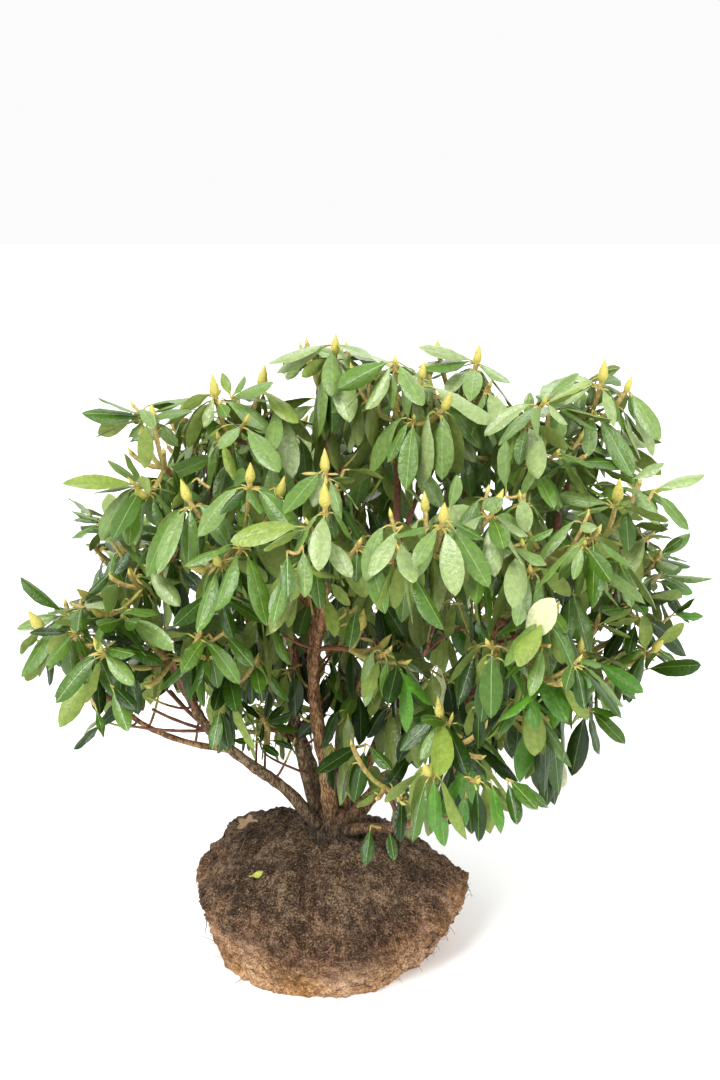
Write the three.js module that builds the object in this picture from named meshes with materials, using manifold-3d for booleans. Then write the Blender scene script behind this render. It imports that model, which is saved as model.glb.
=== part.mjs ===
// A field-grown rhododendron, about a metre high, lifted with its root ball.
// Several bare stems fork from a low collar and carry a broad crown of leafy shoots, each ending
// in a bud with a whorl of long elliptical leaves under it.
// Millimetres, +Z up, +X to the plant's right and -Y to its front. The origin is the middle of
// the root ball's flat underside, so the whole plant stands on Z = 0.
import * as THREE from "three";
import { mergeVertices } from "three/addons/utils/BufferGeometryUtils.js";
import Module from "manifold-3d";

const wasm = await Module();
wasm.setup();

// ---- Driving dimensions ----------------------------------------------------------------------

const GAP = 0.3; // between two nodes that meet face to face

const BALL = {
  topHeight: 205, // soil level at the collar
  seatRadius: 64, // flat patch that the collar stands on
  sides: 22,
};
const COLLAR = { radius: 46, height: 52, sides: 12 };
const STUB = 62; // length of each stem that is still part of the collar
const LEAD = 24; // how far a limb that carries on from another's tip runs straight

const LIMB = { sides: 6, step: 84 }; // corners of a section, and distance between sections
const CURVE_TENSION = 0.5; // of the curves that limbs follow

// A mass's stem: radii where it leaves its limb and at the hub, where it divides into shoots.
// `pull` is how far it keeps its first direction, which is its limb's by the share `along`.
const STEM = { sides: 4, footRadius: 4.6, hubRadius: 3.4, pull: 0.45, along: 0.8 };

// A shoot dips by a share of its run round its elbow, and its bud fills the last share of it. Its
// root is sunk into the mass's stem.
const SHOOT = { radius: 2.9, budRadius: 5, budShare: 0.14, elbow: 0.6, dip: 0.33, sunk: 4 };
const LEAFLESS = 0.6; // share of a shoot that its own leaves keep clear of

// Shoots spread over a cone, in radians, round the way out of the crown, tilted up by `rise`.
// They end between the nearest and the farthest share of the reach.
const SPREAD = { cone: 1.9, rise: 0.45, nearest: 0.88, farthest: 1.12, uneven: 0.5 };
const HUB_SHARE = 0.35; // share of the reach by which a mass's hub lies towards its limb

// A whorl's core round its shoot, and how far its axis is turned up from the shoot's.
const WHORL = { leaves: 4, radius: 3.4, rise: 2, upturn: 0.8 };

const LEAF = { length: 142, width: 58, thickness: 3, lengthRange: 0.3, lift: 0.2, faceUp: 1.2 };
const LEAF_DROOP_RANGE = 0.5;
const LEAF_OUTLINE = [[0.34, -0.95], [0.7, -0.86], [1, 0], [0.7, 0.86], [0.34, 0.95]]; // along, across
// Ways to hang a leaf: turned round its shoot, hung lower, and as a share of its length.
const LEAF_TRIES = [
  [0, 0, 1], [0.3, 0.2, 1], [-0.3, 0.2, 1], [0, 0.7, 0.95], [0.3, 1.1, 0.9], [-0.3, 1.1, 0.9],
  [0, -0.5, 0.85], [0, 2, 0.85], [0.35, -0.4, 0.75], [-0.35, -0.4, 0.75], [0, 0.5, 0.65],
];

const CLEARANCE = 1.2; // between a leaf or twig and any other node
const LEAF_ROOM = 6; // from one leaf's edge to another leaf
const LEAF_STEP = 8; // between the places where that is measured
const OBSTACLE_STEP = 5; // the same along limbs and stems
const LEAF_SHARE = 34; // how far a leaf may reach past the boundary between two masses
const LEAF_SPREAD = 0.8; // share of a leaf's length that may pass a mass's reach
const FINEST = 0.6; // details smaller than this are left out of a joined solid

// The point that the crown grows away from, and the height range over which leaves droop less.
const CROWN_HEART = new THREE.Vector3(10, 20, 560);
const DROOP = { low: 1.5, high: 0.5, from: 420, to: 960 };

// Stems and boughs. A path starts inside the collar, or at a share `at` of the limb `from`.
const LIMBS = [
  { name: "central_stem", from: "collar", radii: [15, 10.5],
    path: [[0, -12, 222], [-10, -20, 340], [-26, -28, 450], [-28, -32, 560], [-20, -26, 650]] },
  { name: "left_stem", from: "collar", radii: [11.5, 6.5],
    path: [[-24, 8, 225], [-52, 8, 340], [-66, 4, 440], [-62, 2, 530], [-86, 4, 620], [-130, 10, 720]] },
  { name: "low_left_bough", from: "collar", radii: [12.5, 7.5],
    path: [[-26, -16, 228], [-80, -28, 300], [-150, -52, 368], [-205, -70, 430], [-240, -80, 500]] },
  { name: "right_stem", from: "collar", radii: [11.5, 6.5],
    path: [[22, 10, 225], [30, 14, 340], [38, 8, 440], [74, -8, 540], [104, -16, 650], [110, -24, 780]] },
  { name: "right_bough", from: "collar", radii: [14.5, 7],
    path: [[32, -10, 228], [100, -22, 322], [178, -36, 410], [248, -44, 500], [314, -40, 610],
      [368, -28, 740]] },
  { name: "low_right_bough", from: "collar", radii: [10.5, 6],
    path: [[26, -30, 224], [74, -74, 250], [118, -130, 280], [160, -196, 340], [190, -240, 420]] },
  { name: "back_left_stem", from: "collar", radii: [11, 6],
    path: [[-14, 30, 225], [-50, 76, 340], [-112, 124, 460], [-166, 160, 590], [-204, 184, 730]] },
  { name: "back_stem", from: "collar", radii: [11, 6],
    path: [[6, 36, 225], [14, 96, 350], [22, 170, 480], [28, 226, 620], [14, 262, 770]] },
  { name: "back_right_stem", from: "collar", radii: [11, 6],
    path: [[28, 30, 225], [82, 84, 340], [150, 146, 460], [206, 202, 590], [236, 250, 730]] },
  { name: "left_outer_bough", from: "low_left_bough", at: 0.62, radii: [6, 4.6],
    path: [[-240, -64, 404], [-310, -62, 432], [-370, -60, 480]] },
  { name: "right_outer_bough", from: "right_bough", at: 0.36, radii: [7.5, 5],
    path: [[250, -20, 424], [340, -4, 470], [420, 8, 540]] },
  { name: "front_bough", from: "central_stem", at: 0.66, radii: [6.5, 5],
    path: [[-22, -90, 584], [-10, -160, 660], [0, -212, 740]] },
  { name: "front_right_bough", from: "right_bough", at: 0.52, radii: [7, 5],
    path: [[238, -110, 520], [252, -190, 590], [262, -236, 680]] },
  { name: "upper_left_bough", from: "central_stem", at: 0.93, radii: [7, 5],
    path: [[-66, -70, 700], [-110, -110, 770]] },
  { name: "upper_bough", from: "central_stem", at: 1, radii: [10, 5],
    path: [[-8, -6, 740], [-4, 24, 860]] },
];

// Masses of foliage. `reach` is how far the buds lie from the centre along X, Y and Z.
const MASSES = [
  { name: "far_left", from: "left_outer_bough", at: 1, shoots: 5,
    centre: [-434, -56, 622], reach: [76, 88, 76] },
  { name: "left_spire", from: "left_stem", at: 0.84, shoots: 5,
    centre: [-280, -40, 902], reach: [58, 66, 84] },
  { name: "left_side", from: "low_left_bough", at: 1, shoots: 5,
    centre: [-314, -72, 712], reach: [92, 96, 78] },
  { name: "left_low", from: "low_left_bough", at: 0.84, shoots: 5,
    centre: [-262, -140, 600], reach: [84, 80, 66] },
  { name: "left_inner", from: "low_left_bough", at: 0.72, shoots: 3,
    centre: [-160, -130, 550], reach: [56, 64, 56] },
  { name: "left_shoulder", from: "left_stem", at: 1, shoots: 5,
    centre: [-168, 20, 942], reach: [84, 84, 76] },
  { name: "left_front", from: "upper_left_bough", at: 1, shoots: 5,
    centre: [-150, -190, 800], reach: [90, 84, 86] },
  { name: "top_centre", from: "upper_bough", at: 1, shoots: 5,
    centre: [-6, 56, 1000], reach: [84, 82, 84] },
  { name: "top_middle", from: "right_stem", at: 1, shoots: 5,
    centre: [106, -50, 988], reach: [68, 76, 88] },
  { name: "top_right", from: "right_stem", at: 0.86, shoots: 5,
    centre: [226, 84, 982], reach: [80, 82, 82] },
  { name: "front_centre", from: "front_bough", at: 1, shoots: 5,
    centre: [4, -262, 820], reach: [92, 76, 92] },
  { name: "front_middle", from: "right_stem", at: 0.72, shoots: 5,
    centre: [160, -290, 822], reach: [82, 76, 88] },
  { name: "right_shoulder", from: "right_bough", at: 1, shoots: 5,
    centre: [338, -32, 920], reach: [80, 84, 78] },
  { name: "right_peak", from: "right_bough", at: 0.9, shoots: 5,
    centre: [438, 76, 958], reach: [74, 78, 84] },
  { name: "right_front", from: "right_bough", at: 0.82, shoots: 5,
    centre: [326, -220, 806], reach: [92, 84, 84] },
  { name: "right_side", from: "right_bough", at: 0.74, shoots: 5,
    centre: [460, -80, 790], reach: [84, 86, 76] },
  { name: "right_far", from: "right_outer_bough", at: 1, shoots: 5,
    centre: [512, 46, 680], reach: [76, 92, 76] },
  { name: "right_low", from: "right_outer_bough", at: 0.7, shoots: 5,
    centre: [428, -60, 560], reach: [84, 84, 62] },
  { name: "right_middle", from: "front_right_bough", at: 1, shoots: 5,
    centre: [304, -306, 660], reach: [86, 72, 78] },
  { name: "low_right_front", from: "low_right_bough", at: 1, shoots: 5,
    centre: [190, -300, 516], reach: [88, 74, 60] },
  { name: "low_right_side", from: "right_bough", at: 0.44, shoots: 5,
    centre: [308, -180, 502], reach: [84, 80, 58] },
  { name: "low_middle", from: "low_right_bough", at: 0.4, shoots: 3,
    centre: [86, -160, 376], reach: [46, 50, 36] },
  { name: "inner_front", from: "front_bough", at: 0.3, shoots: 4,
    centre: [50, -170, 612], reach: [70, 60, 60] },
  { name: "low_sprig", from: "left_stem", at: 0.28, shoots: 3, leaf: 0.5,
    centre: [-116, -40, 424], reach: [40, 40, 36] },
  { name: "back_left_top", from: "back_left_stem", at: 1, shoots: 5,
    centre: [-232, 206, 868], reach: [98, 92, 84] },
  { name: "back_left", from: "back_left_stem", at: 0.76, shoots: 5,
    centre: [-380, 150, 672], reach: [94, 104, 88] },
  { name: "back_top", from: "back_stem", at: 1, shoots: 5,
    centre: [0, 280, 888], reach: [98, 88, 82] },
  { name: "back_right_top", from: "back_right_stem", at: 1, shoots: 5,
    centre: [244, 290, 858], reach: [100, 88, 86] },
  { name: "back_right", from: "back_right_stem", at: 0.78, shoots: 5,
    centre: [418, 240, 700], reach: [92, 96, 96] },
  { name: "back_middle_left", from: "back_left_stem", at: 0.66, shoots: 5,
    centre: [-168, 330, 680], reach: [98, 86, 92] },
  { name: "back_middle", from: "back_stem", at: 0.74, shoots: 5,
    centre: [80, 390, 660], reach: [100, 80, 96] },
  { name: "back_low_right", from: "back_right_stem", at: 0.5, shoots: 5,
    centre: [262, 320, 486], reach: [96, 84, 70] },
  { name: "back_low_left", from: "back_left_stem", at: 0.42, shoots: 5,
    centre: [-220, 236, 476], reach: [92, 84, 66] },
];

const WHORL_SEED = 1000; // the draws of each mass start at these plus its number
const LEAF_SEED = 2000;

const COLOURS = { soil: 0x4a3628, bark: 0x6b4f3c, foliage: 0x3f6b3a };

// ---- Small helpers ---------------------------------------------------------------------------

const UP = new THREE.Vector3(0, 0, 1);
const GOLDEN_TURN = Math.PI * (3 - Math.sqrt(5));
const vec = (point) => new THREE.Vector3(...point);
const mix = (a, b, share) => a + (b - a) * share;

// Seeded draws between 0 and 1.
function drawsFrom(seed) {
  let state = seed * 7919 + 104729;
  const draw = () => (state = (state * 48271) % 2147483647) / 2147483647;
  draw();
  return draw;
}

// A unit vector at right angles to `direction`, as near to `wanted` as can be.
function squareTo(direction, wanted) {
  return wanted.clone().addScaledVector(direction, -wanted.dot(direction)).normalize();
}

// The coordinate axis that a curve runs along least, which its rings are turned by.
function steadyAxis(curve) {
  const run = curve.getPoint(1).sub(curve.getPoint(0));
  const axes = [new THREE.Vector3(1, 0, 0), new THREE.Vector3(0, 1, 0), UP];
  return axes.sort((a, b) => Math.abs(a.dot(run)) - Math.abs(b.dot(run)))[0];
}

// A closed tube round a curve. Each ring is [share of the curve, radius].
function tube(curve, rings, sides) {
  const geometry = new THREE.CylinderGeometry(1, 1, 1, sides, rings.length - 1);
  const position = geometry.attributes.position;
  const axis = steadyAxis(curve);
  const frames = rings.map(([share]) => {
    const tangent = curve.getTangentAt(share);
    const side = squareTo(tangent, axis);
    return { centre: curve.getPointAt(share), side, other: side.clone().cross(tangent) };
  });
  for (let i = 0; i < position.count; i++) {
    const ring = Math.round((0.5 + position.getY(i)) * (rings.length - 1));
    const radius = rings[ring][1];
    const place = frames[ring].centre
      .clone()
      .addScaledVector(frames[ring].side, position.getX(i) * radius)
      .addScaledVector(frames[ring].other, position.getZ(i) * radius);
    position.setXYZ(i, place.x, place.y, place.z);
  }
  return geometry;
}

// A closed geometry as a solid for joining and cutting.
function solidOf(geometry) {
  const bare = geometry.clone();
  bare.deleteAttribute("normal");
  bare.deleteAttribute("uv");
  const merged = mergeVertices(bare, 1e-4);
  return new wasm.Manifold(
    new wasm.Mesh({
      numProp: 3,
      vertProperties: merged.attributes.position.array,
      triVerts: new Uint32Array(merged.index.array),
    }),
  );
}

// The joined solid as a geometry, without any scrap that came loose from it.
function geometryOf(solids) {
  const joined = wasm.Manifold.union(solids).asOriginal().simplify(FINEST);
  const whole = joined.decompose().sort((a, b) => b.volume() - a.volume())[0];
  const mesh = whole.getMesh();
  return new THREE.BufferGeometry()
    .setAttribute("position", new THREE.BufferAttribute(mesh.vertProperties, 3))
    .setIndex(new THREE.BufferAttribute(mesh.triVerts, 1));
}

const plant = new THREE.Group();

function addNode(name, geometry, colour, roughness) {
  geometry.computeVertexNormals();
  const material = new THREE.MeshStandardMaterial({ color: colour, roughness, metalness: 0 });
  const mesh = new THREE.Mesh(geometry, material);
  mesh.name = name;
  plant.add(mesh);
}

// ---- Root ball and collar --------------------------------------------------------------------

// Outline of the root ball in a direction round its middle, in radians from +X.
function ballOutline(turn) {
  const lumps = 6 * Math.sin(3 * turn + 0.8) + 4 * Math.sin(5 * turn + 2.1) + 2.5 * Math.sin(9 * turn);
  return {
    rim: 232 - 4 * Math.cos(turn) + 8 * Math.cos(2 * turn) + lumps,
    rimHeight: 124 - 24 * Math.cos(turn) + 14 * Math.sin(turn) + 0.8 * lumps,
    base: 192 - 14 * Math.cos(turn) + 0.7 * lumps,
  };
}

// Height of the soil's surface.
function soilHeight(x, y) {
  const { rim, rimHeight } = ballOutline(Math.atan2(y, x));
  const share = (Math.hypot(x, y) - BALL.seatRadius) / (rim - BALL.seatRadius);
  if (share > 1) return 0;
  return mix(BALL.topHeight, rimHeight, Math.max(share, 0) ** 1.7);
}

function rootBall() {
  // Each point of the profile: [share from the seat to the rim, share down the side].
  const profile = [[-1, 0], [0, 0], [0.3, 0], [0.6, 0], [0.85, 0], [1, 0.05],
    [1, 0.22], [1, 0.5], [1, 0.8], [1, 0.94], [1, 1], [-1, 1]];
  const points = profile.map((_, i) => new THREE.Vector2(i % (profile.length - 1) ? 1 : 0, i));
  const geometry = new THREE.LatheGeometry(points, BALL.sides);
  const position = geometry.attributes.position;
  for (let i = 0; i < position.count; i++) {
    const turn = Math.atan2(position.getZ(i), position.getX(i));
    const row = Math.round(position.getY(i));
    const [out, down] = profile[row];
    const { rim, rimHeight, base } = ballOutline(turn);
    const bulge = 6 * Math.sin(Math.PI * down);
    const top = out < 0 ? 0 : mix(BALL.seatRadius, rim, out);
    const radius = out < 0 ? 0 : down > 0 ? mix(rim, base, down) + bulge : top;
    const rise = down > 0 ? mix(rimHeight, 0, down) : mix(BALL.topHeight, rimHeight, Math.max(out, 0) ** 1.7);
    position.setXYZ(i, radius * Math.cos(turn), radius * Math.sin(turn), rise);
  }
  return geometry;
}

function collarBody() {
  const profile = [[0, 0], [1, 0], [0.84, 0.14], [0.74, 0.45], [0.6, 0.8], [0, 1]];
  const points = profile.map(([out, rise]) => new THREE.Vector2(out * COLLAR.radius, rise * COLLAR.height));
  return new THREE.LatheGeometry(points, COLLAR.sides)
    .rotateX(Math.PI / 2)
    .translate(2, 2, BALL.topHeight + GAP);
}

// ---- Limbs -----------------------------------------------------------------------------------

const limbs = new Map();

function radiusAt(limb, share) {
  return mix(limb.radii[0], limb.radii[1], share);
}

// The first share of a curve from which it stays clear of the limb that it leaves.
function clearShare(curve, radius, parent) {
  const steps = 80;
  const axis = parent.curve.getSpacedPoints(steps);
  let share = 1;
  for (let i = steps; i >= 0; i--) {
    const point = curve.getPointAt(i / steps);
    const room = Math.min(...axis.map((p, k) => p.distanceTo(point) - radiusAt(parent, k / steps)));
    if (room < radius + CLEARANCE) break;
    share = i / steps;
  }
  return share;
}

function growLimb({ name, from, at, path, radii }) {
  const parent = limbs.get(from);
  const points = path.map(vec);
  if (at === 1) {
    const [end, tangent] = [parent.curve.getPointAt(1), parent.curve.getTangentAt(1)];
    points.unshift(end.addScaledVector(tangent, LEAD));
  }
  if (parent) points.unshift(parent.curve.getPointAt(at));
  const curve = new THREE.CatmullRomCurve3(points, false, "catmullrom", CURVE_TENSION);
  const limb = { name, curve, radii, length: curve.getLength(), stubs: [] };
  if (!parent) limb.start = STUB / limb.length;
  else limb.start = at === 1 ? GAP / limb.length : clearShare(curve, radii[0], parent);
  const stub = tube(curve, [[0, radiusAt(limb, 0)], [limb.start, radiusAt(limb, limb.start)]], LIMB.sides);
  if (at !== 1) (parent ? parent.stubs : collarStubs).push(stub);
  if (at !== 1) limb.start += GAP / limb.length;
  limbs.set(name, limb);
}

function limbGeometry(limb) {
  const steps = Math.max(2, Math.round((limb.length * (1 - limb.start)) / LIMB.step));
  const rings = Array.from({ length: steps + 1 }, (_, i) => {
    const share = mix(limb.start, 1, i / steps);
    return [share, radiusAt(limb, share)];
  });
  return geometryOf([tube(limb.curve, rings, LIMB.sides), ...limb.stubs].map(solidOf));
}

// ---- Masses of foliage -----------------------------------------------------------------------

const masses = [];
const leaves = []; // of every mass, so that none touches another

// Places a mass's stem, from its limb to the hub where it divides.
function placeMass(entry, index) {
  const limb = limbs.get(entry.from);
  const centre = vec(entry.centre);
  const reach = vec(entry.reach);
  const foot = limb.curve.getPointAt(entry.at);
  const tangent = limb.curve.getTangentAt(entry.at);
  const toLimb = foot.clone().sub(centre).normalize();
  const hub = centre.clone().addScaledVector(toLimb.multiply(reach), HUB_SHARE);
  const run = hub.clone().sub(foot);
  const lead = tangent.clone();
  if (entry.at !== 1) lead.multiplyScalar(STEM.along).add(run.clone().normalize()).normalize();
  const knee = foot.clone().addScaledVector(lead, run.length() * STEM.pull);
  const curve = new THREE.QuadraticBezierCurve3(foot, knee, hub);
  const footRadius = entry.at === 1 ? limb.radii[1] : STEM.footRadius;
  const clear = entry.at === 1 ? 0 : clearShare(curve, footRadius, limb);
  if (entry.at !== 1) {
    const stubEnd = mix(footRadius, STEM.hubRadius, clear);
    limb.stubs.push(tube(curve, [[0, footRadius], [clear, stubEnd]], STEM.sides));
  }
  const start = clear + GAP / curve.getLength();
  masses.push({ ...entry, seed: index + 1, centre, reach, hub, curve, footRadius, start });
}

// The way out of the crown at a mass, tilted up.
function outwardOf(mass) {
  return mass.centre.clone().sub(CROWN_HEART).normalize().addScaledVector(UP, SPREAD.rise).normalize();
}

// The shoots of a mass: curves from its hub to buds spread over its outer side.
function shootsOf(mass) {
  const draw = drawsFrom(mass.seed);
  const turned = new THREE.Quaternion().setFromUnitVectors(UP, outwardOf(mass));
  const phase = draw() * 2 * Math.PI;
  return Array.from({ length: mass.shoots }, (_, k) => {
    const rank = (k + mix(0.35, 0.65, draw())) / mass.shoots;
    const level = mix(1, Math.cos(SPREAD.cone), rank);
    const turn = phase + k * GOLDEN_TURN + SPREAD.uneven * (draw() - 0.5);
    const flat = Math.sqrt(1 - level * level);
    const way = new THREE.Vector3(flat * Math.cos(turn), flat * Math.sin(turn), level);
    way.applyQuaternion(turned).multiply(mass.reach);
    const tip = mass.centre.clone().addScaledVector(way, mix(SPREAD.nearest, SPREAD.farthest, draw()));
    const middle = mass.hub.clone().lerp(tip, SHOOT.elbow);
    middle.z -= SHOOT.dip * mass.hub.distanceTo(tip);
    return new THREE.QuadraticBezierCurve3(mass.hub, middle, tip);
  });
}

// Distance from a point to the flat boundary between a mass's space and another's.
function roomBeside(mass, other, point) {
  const own = point.distanceToSquared(mass.centre) - mass.reach.lengthSq() / 3;
  const theirs = point.distanceToSquared(other.centre) - other.reach.lengthSq() / 3;
  return (theirs - own) / (2 * mass.centre.distanceTo(other.centre));
}

function insideSpace(mass, points, margin) {
  const leafRoom = LEAF.length * (mass.leaf ?? 1) * LEAF_SPREAD;
  return points.every((point) => {
    const away = point.clone().sub(mass.centre);
    const limit = mass.reach.clone().addScalar(leafRoom);
    if (away.divide(limit).length() > 1) return false;
    if (point.z < soilHeight(point.x, point.y) + CLEARANCE) return false;
    return masses.every((other) => other === mass || roomBeside(mass, other, point) > margin);
  });
}

// Balls along every limb and stem, which twigs and leaves keep clear of.
function obstacleBalls() {
  const balls = [];
  const addAlong = (owner, curve, radiusOf) => {
    const steps = Math.ceil(curve.getLength() / OBSTACLE_STEP);
    for (let i = 0; i <= steps; i++) {
      balls.push({ owner, centre: curve.getPointAt(i / steps), radius: radiusOf(i / steps) });
    }
  };
  for (const limb of limbs.values()) addAlong(limb, limb.curve, (share) => radiusAt(limb, share));
  for (const mass of masses) {
    addAlong(mass, mass.curve, (share) => mix(mass.footRadius, STEM.hubRadius, share));
  }
  return balls;
}

// A leaf with the points of its outline, from one side of its root round the tip to the other.
function leafOf(root, direction, upper, length) {
  const side = upper.clone().cross(direction).multiplyScalar((length * LEAF.width) / LEAF.length / 2);
  const outline = LEAF_OUTLINE.map(([along, across]) =>
    root.clone().addScaledVector(direction, along * length).addScaledVector(side, across),
  );
  return {
    length,
    outline,
    middle: root.clone().addScaledVector(direction, length / 2),
    ridge: root.clone().addScaledVector(direction, length / 2).addScaledVector(upper, LEAF.thickness),
    blades: outline.slice(1).map((point, i) => new THREE.Triangle(root, outline[i], point)),
    edge: outline.slice(1).flatMap((point, i) => spaced(outline[i], point)),
  };
}

// Points from one to another, at most LEAF_STEP apart.
function spaced(from, to) {
  const steps = Math.ceil(from.distanceTo(to) / LEAF_STEP);
  return Array.from({ length: steps }, (_, i) => from.clone().lerp(to, (i + 1) / steps));
}

function bladesAreClear(blades, point, room) {
  const nearest = new THREE.Vector3();
  return blades.every((blade) => blade.closestPointToPoint(point, nearest).distanceTo(point) > room);
}

// True if a leaf touches none of the balls, apart from the owner's.
function leafIsClear(owner, leaf, balls) {
  return balls.every((ball) => {
    const room = ball.radius + CLEARANCE + LEAF.thickness;
    if (ball.owner === owner || ball.centre.distanceTo(leaf.middle) > leaf.length / 2 + room) return true;
    return bladesAreClear(leaf.blades, ball.centre, room);
  });
}

// True if two leaves neither cross nor touch.
function leavesAreApart(one, other) {
  if (one.middle.distanceTo(other.middle) > (one.length + other.length) / 2 + LEAF_ROOM) return true;
  return (
    one.edge.every((point) => bladesAreClear(other.blades, point, LEAF_ROOM)) &&
    other.edge.every((point) => bladesAreClear(one.blades, point, LEAF_ROOM))
  );
}

// How steeply leaves hang at a height.
function droopAt(height) {
  return mix(DROOP.low, DROOP.high, THREE.MathUtils.smoothstep(height, DROOP.from, DROOP.to));
}

// The first of several ways to hang a leaf in which it has room, or null.
function leafWithRoom(mass, whorl, turn, jitter, balls) {
  for (const [swing, sag, share] of LEAF_TRIES) {
    const out = whorl.first.clone().applyAxisAngle(whorl.axis, turn + swing);
    const fall = droopAt(whorl.root.z) + sag + LEAF_DROOP_RANGE * jitter;
    const raised = out.clone().addScaledVector(whorl.axis, LEAF.lift);
    const direction = raised.addScaledVector(UP, -fall).normalize();
    const upper = squareTo(direction, out.addScaledVector(UP, LEAF.faceUp));
    const length = LEAF.length * (mass.leaf ?? 1) * (1 + LEAF.lengthRange * jitter) * share;
    const leaf = leafOf(whorl.root, direction, upper, length);
    if (!insideSpace(mass, leaf.outline, -LEAF_SHARE)) continue;
    if (!leafIsClear(mass, leaf, balls) || !leafIsClear(mass, leaf, whorl.balls)) continue;
    if (leaves.every((other) => leavesAreApart(leaf, other))) return leaf;
  }
  return null;
}

// The whorl under a shoot's bud, without its leaves.
function whorlOf(shoot, draw) {
  const run = shoot.v2.clone().sub(shoot.v0);
  const first = run.cross(UP).lengthSq() > 1 ? run.normalize() : new THREE.Vector3(1, 0, 0);
  const tangent = shoot.getTangentAt(1 - SHOOT.budShare);
  const axis = tangent.clone().addScaledVector(UP, WHORL.upturn).normalize();
  const stalk = spaced(shoot.getPointAt(0), shoot.getPointAt(LEAFLESS));
  return {
    root: shoot.getPointAt(1 - SHOOT.budShare),
    axis,
    first,
    phase: draw() * 2 * Math.PI,
    balls: stalk.map((centre) => ({ owner: shoot, centre, radius: SHOOT.radius })),
    leaves: [],
  };
}

// A corner of a shoot's ring: round its curve at a share, or round the whorl's axis at a rise.
function ringCorner(shoot, whorl, share, radius, corner) {
  const axis = shoot.getTangentAt(share);
  const turn = whorl.phase + (2 * Math.PI * (corner - 0.5)) / WHORL.leaves;
  return shoot.getPointAt(share).addScaledVector(whorl.first.clone().applyAxisAngle(axis, turn), radius);
}

function coreCorner(whorl, rise, corner) {
  const turn = whorl.phase + (2 * Math.PI * (corner - 0.5)) / WHORL.leaves;
  const out = whorl.first.clone().applyAxisAngle(whorl.axis, turn);
  return whorl.root.clone().addScaledVector(out, WHORL.radius).addScaledVector(whorl.axis, rise);
}

// A shoot with its bud and its leaves, as a sphere drawn out from the bud's tip to its root inside
// the stem. Each leaf is a group of columns in the two rows between the whorl's two rings.
function shootGeometry(shoot, whorl, root) {
  const perLeaf = LEAF_OUTLINE.length + 1;
  const columns = perLeaf * WHORL.leaves;
  const bud = mix(1 - SHOOT.budShare, 1, 0.45);
  const rows = [
    () => shoot.getPointAt(1),
    (k) => ringCorner(shoot, whorl, bud, SHOOT.budRadius, k),
    (k) => coreCorner(whorl, WHORL.rise, k),
    (k, leaf, part) => (leaf && part ? leaf.ridge : coreCorner(whorl, WHORL.rise, k)),
    (k, leaf, part) => (leaf && part ? leaf.outline[part - 1] : coreCorner(whorl, WHORL.rise, k)),
    (k) => coreCorner(whorl, -WHORL.rise, k),
    (k) => ringCorner(shoot, whorl, 0.5, SHOOT.radius, k),
    (k) => ringCorner(shoot, whorl, 0.03, SHOOT.radius, k),
    () => root,
  ];
  const geometry = new THREE.SphereGeometry(1, columns, rows.length - 1);
  const position = geometry.attributes.position;
  for (let i = 0; i < position.count; i++) {
    const column = (i % (columns + 1)) % columns;
    const k = Math.floor(column / perLeaf);
    const place = rows[Math.floor(i / (columns + 1))](k, whorl.leaves[k], column % perLeaf);
    position.setXYZ(i, place.x, place.y, place.z);
  }
  return geometry;
}

function shootIsClear(mass, shoot, balls) {
  const points = shoot.getSpacedPoints(12);
  const room = SHOOT.budRadius + CLEARANCE;
  if (!insideSpace(mass, points, room)) return false;
  return points.every((point) =>
    balls.every(({ owner, centre, radius }) => owner === mass || centre.distanceTo(point) > radius + room),
  );
}

// Grows a mass's shoots, those that have room, each with a whorl that has no leaves yet.
function growShoots(mass, balls) {
  const draw = drawsFrom(WHORL_SEED + mass.seed);
  mass.grown = shootsOf(mass)
    .filter((shoot) => shootIsClear(mass, shoot, balls))
    .map((shoot) => ({ shoot, whorl: whorlOf(shoot, draw) }));
  return mass.grown.flatMap(({ shoot }) =>
    spaced(shoot.getPointAt(0), shoot.getPointAt(0.5))
      .concat(spaced(shoot.getPointAt(0.5), shoot.getPointAt(1)))
      .map((centre) => ({ owner: mass, centre, radius: SHOOT.budRadius })),
  );
}

function growLeaves(mass, balls) {
  const draw = drawsFrom(LEAF_SEED + mass.seed);
  for (const { whorl } of mass.grown) {
    for (let k = 0; k < WHORL.leaves; k++) {
      const turn = whorl.phase + (2 * Math.PI * k) / WHORL.leaves;
      const leaf = leafWithRoom(mass, whorl, turn, draw() - 0.5, balls);
      whorl.leaves.push(leaf);
      if (leaf) leaves.push(leaf);
    }
  }
}

function massGeometry(mass) {
  const rings = [0, 0.5, 1].map((part) => {
    const share = mix(mass.start, 1, part);
    return [share, mix(mass.footRadius, STEM.hubRadius, share)];
  });
  const root = mass.curve.getPointAt(1 - SHOOT.sunk / mass.curve.getLength());
  const shoots = mass.grown
    .filter(({ whorl }) => whorl.leaves.some(Boolean))
    .map(({ shoot, whorl }) => shootGeometry(shoot, whorl, root));
  return geometryOf([tube(mass.curve, rings, STEM.sides), ...shoots].map(solidOf));
}

// ---- The plant -------------------------------------------------------------------------------

const collarStubs = [];
LIMBS.forEach(growLimb);
MASSES.forEach(placeMass);

addNode("root_ball", rootBall(), COLOURS.soil, 0.95);
addNode("root_collar", geometryOf([collarBody(), ...collarStubs].map(solidOf)), COLOURS.bark, 0.9);
for (const limb of limbs.values()) addNode(limb.name, limbGeometry(limb), COLOURS.bark, 0.9);

const balls = obstacleBalls();
balls.push(...masses.flatMap((mass) => growShoots(mass, balls)));
masses.forEach((mass) => growLeaves(mass, balls));
for (const mass of masses) addNode(`foliage_${mass.name}`, massGeometry(mass), COLOURS.foliage, 0.5);

export default plant;
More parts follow.
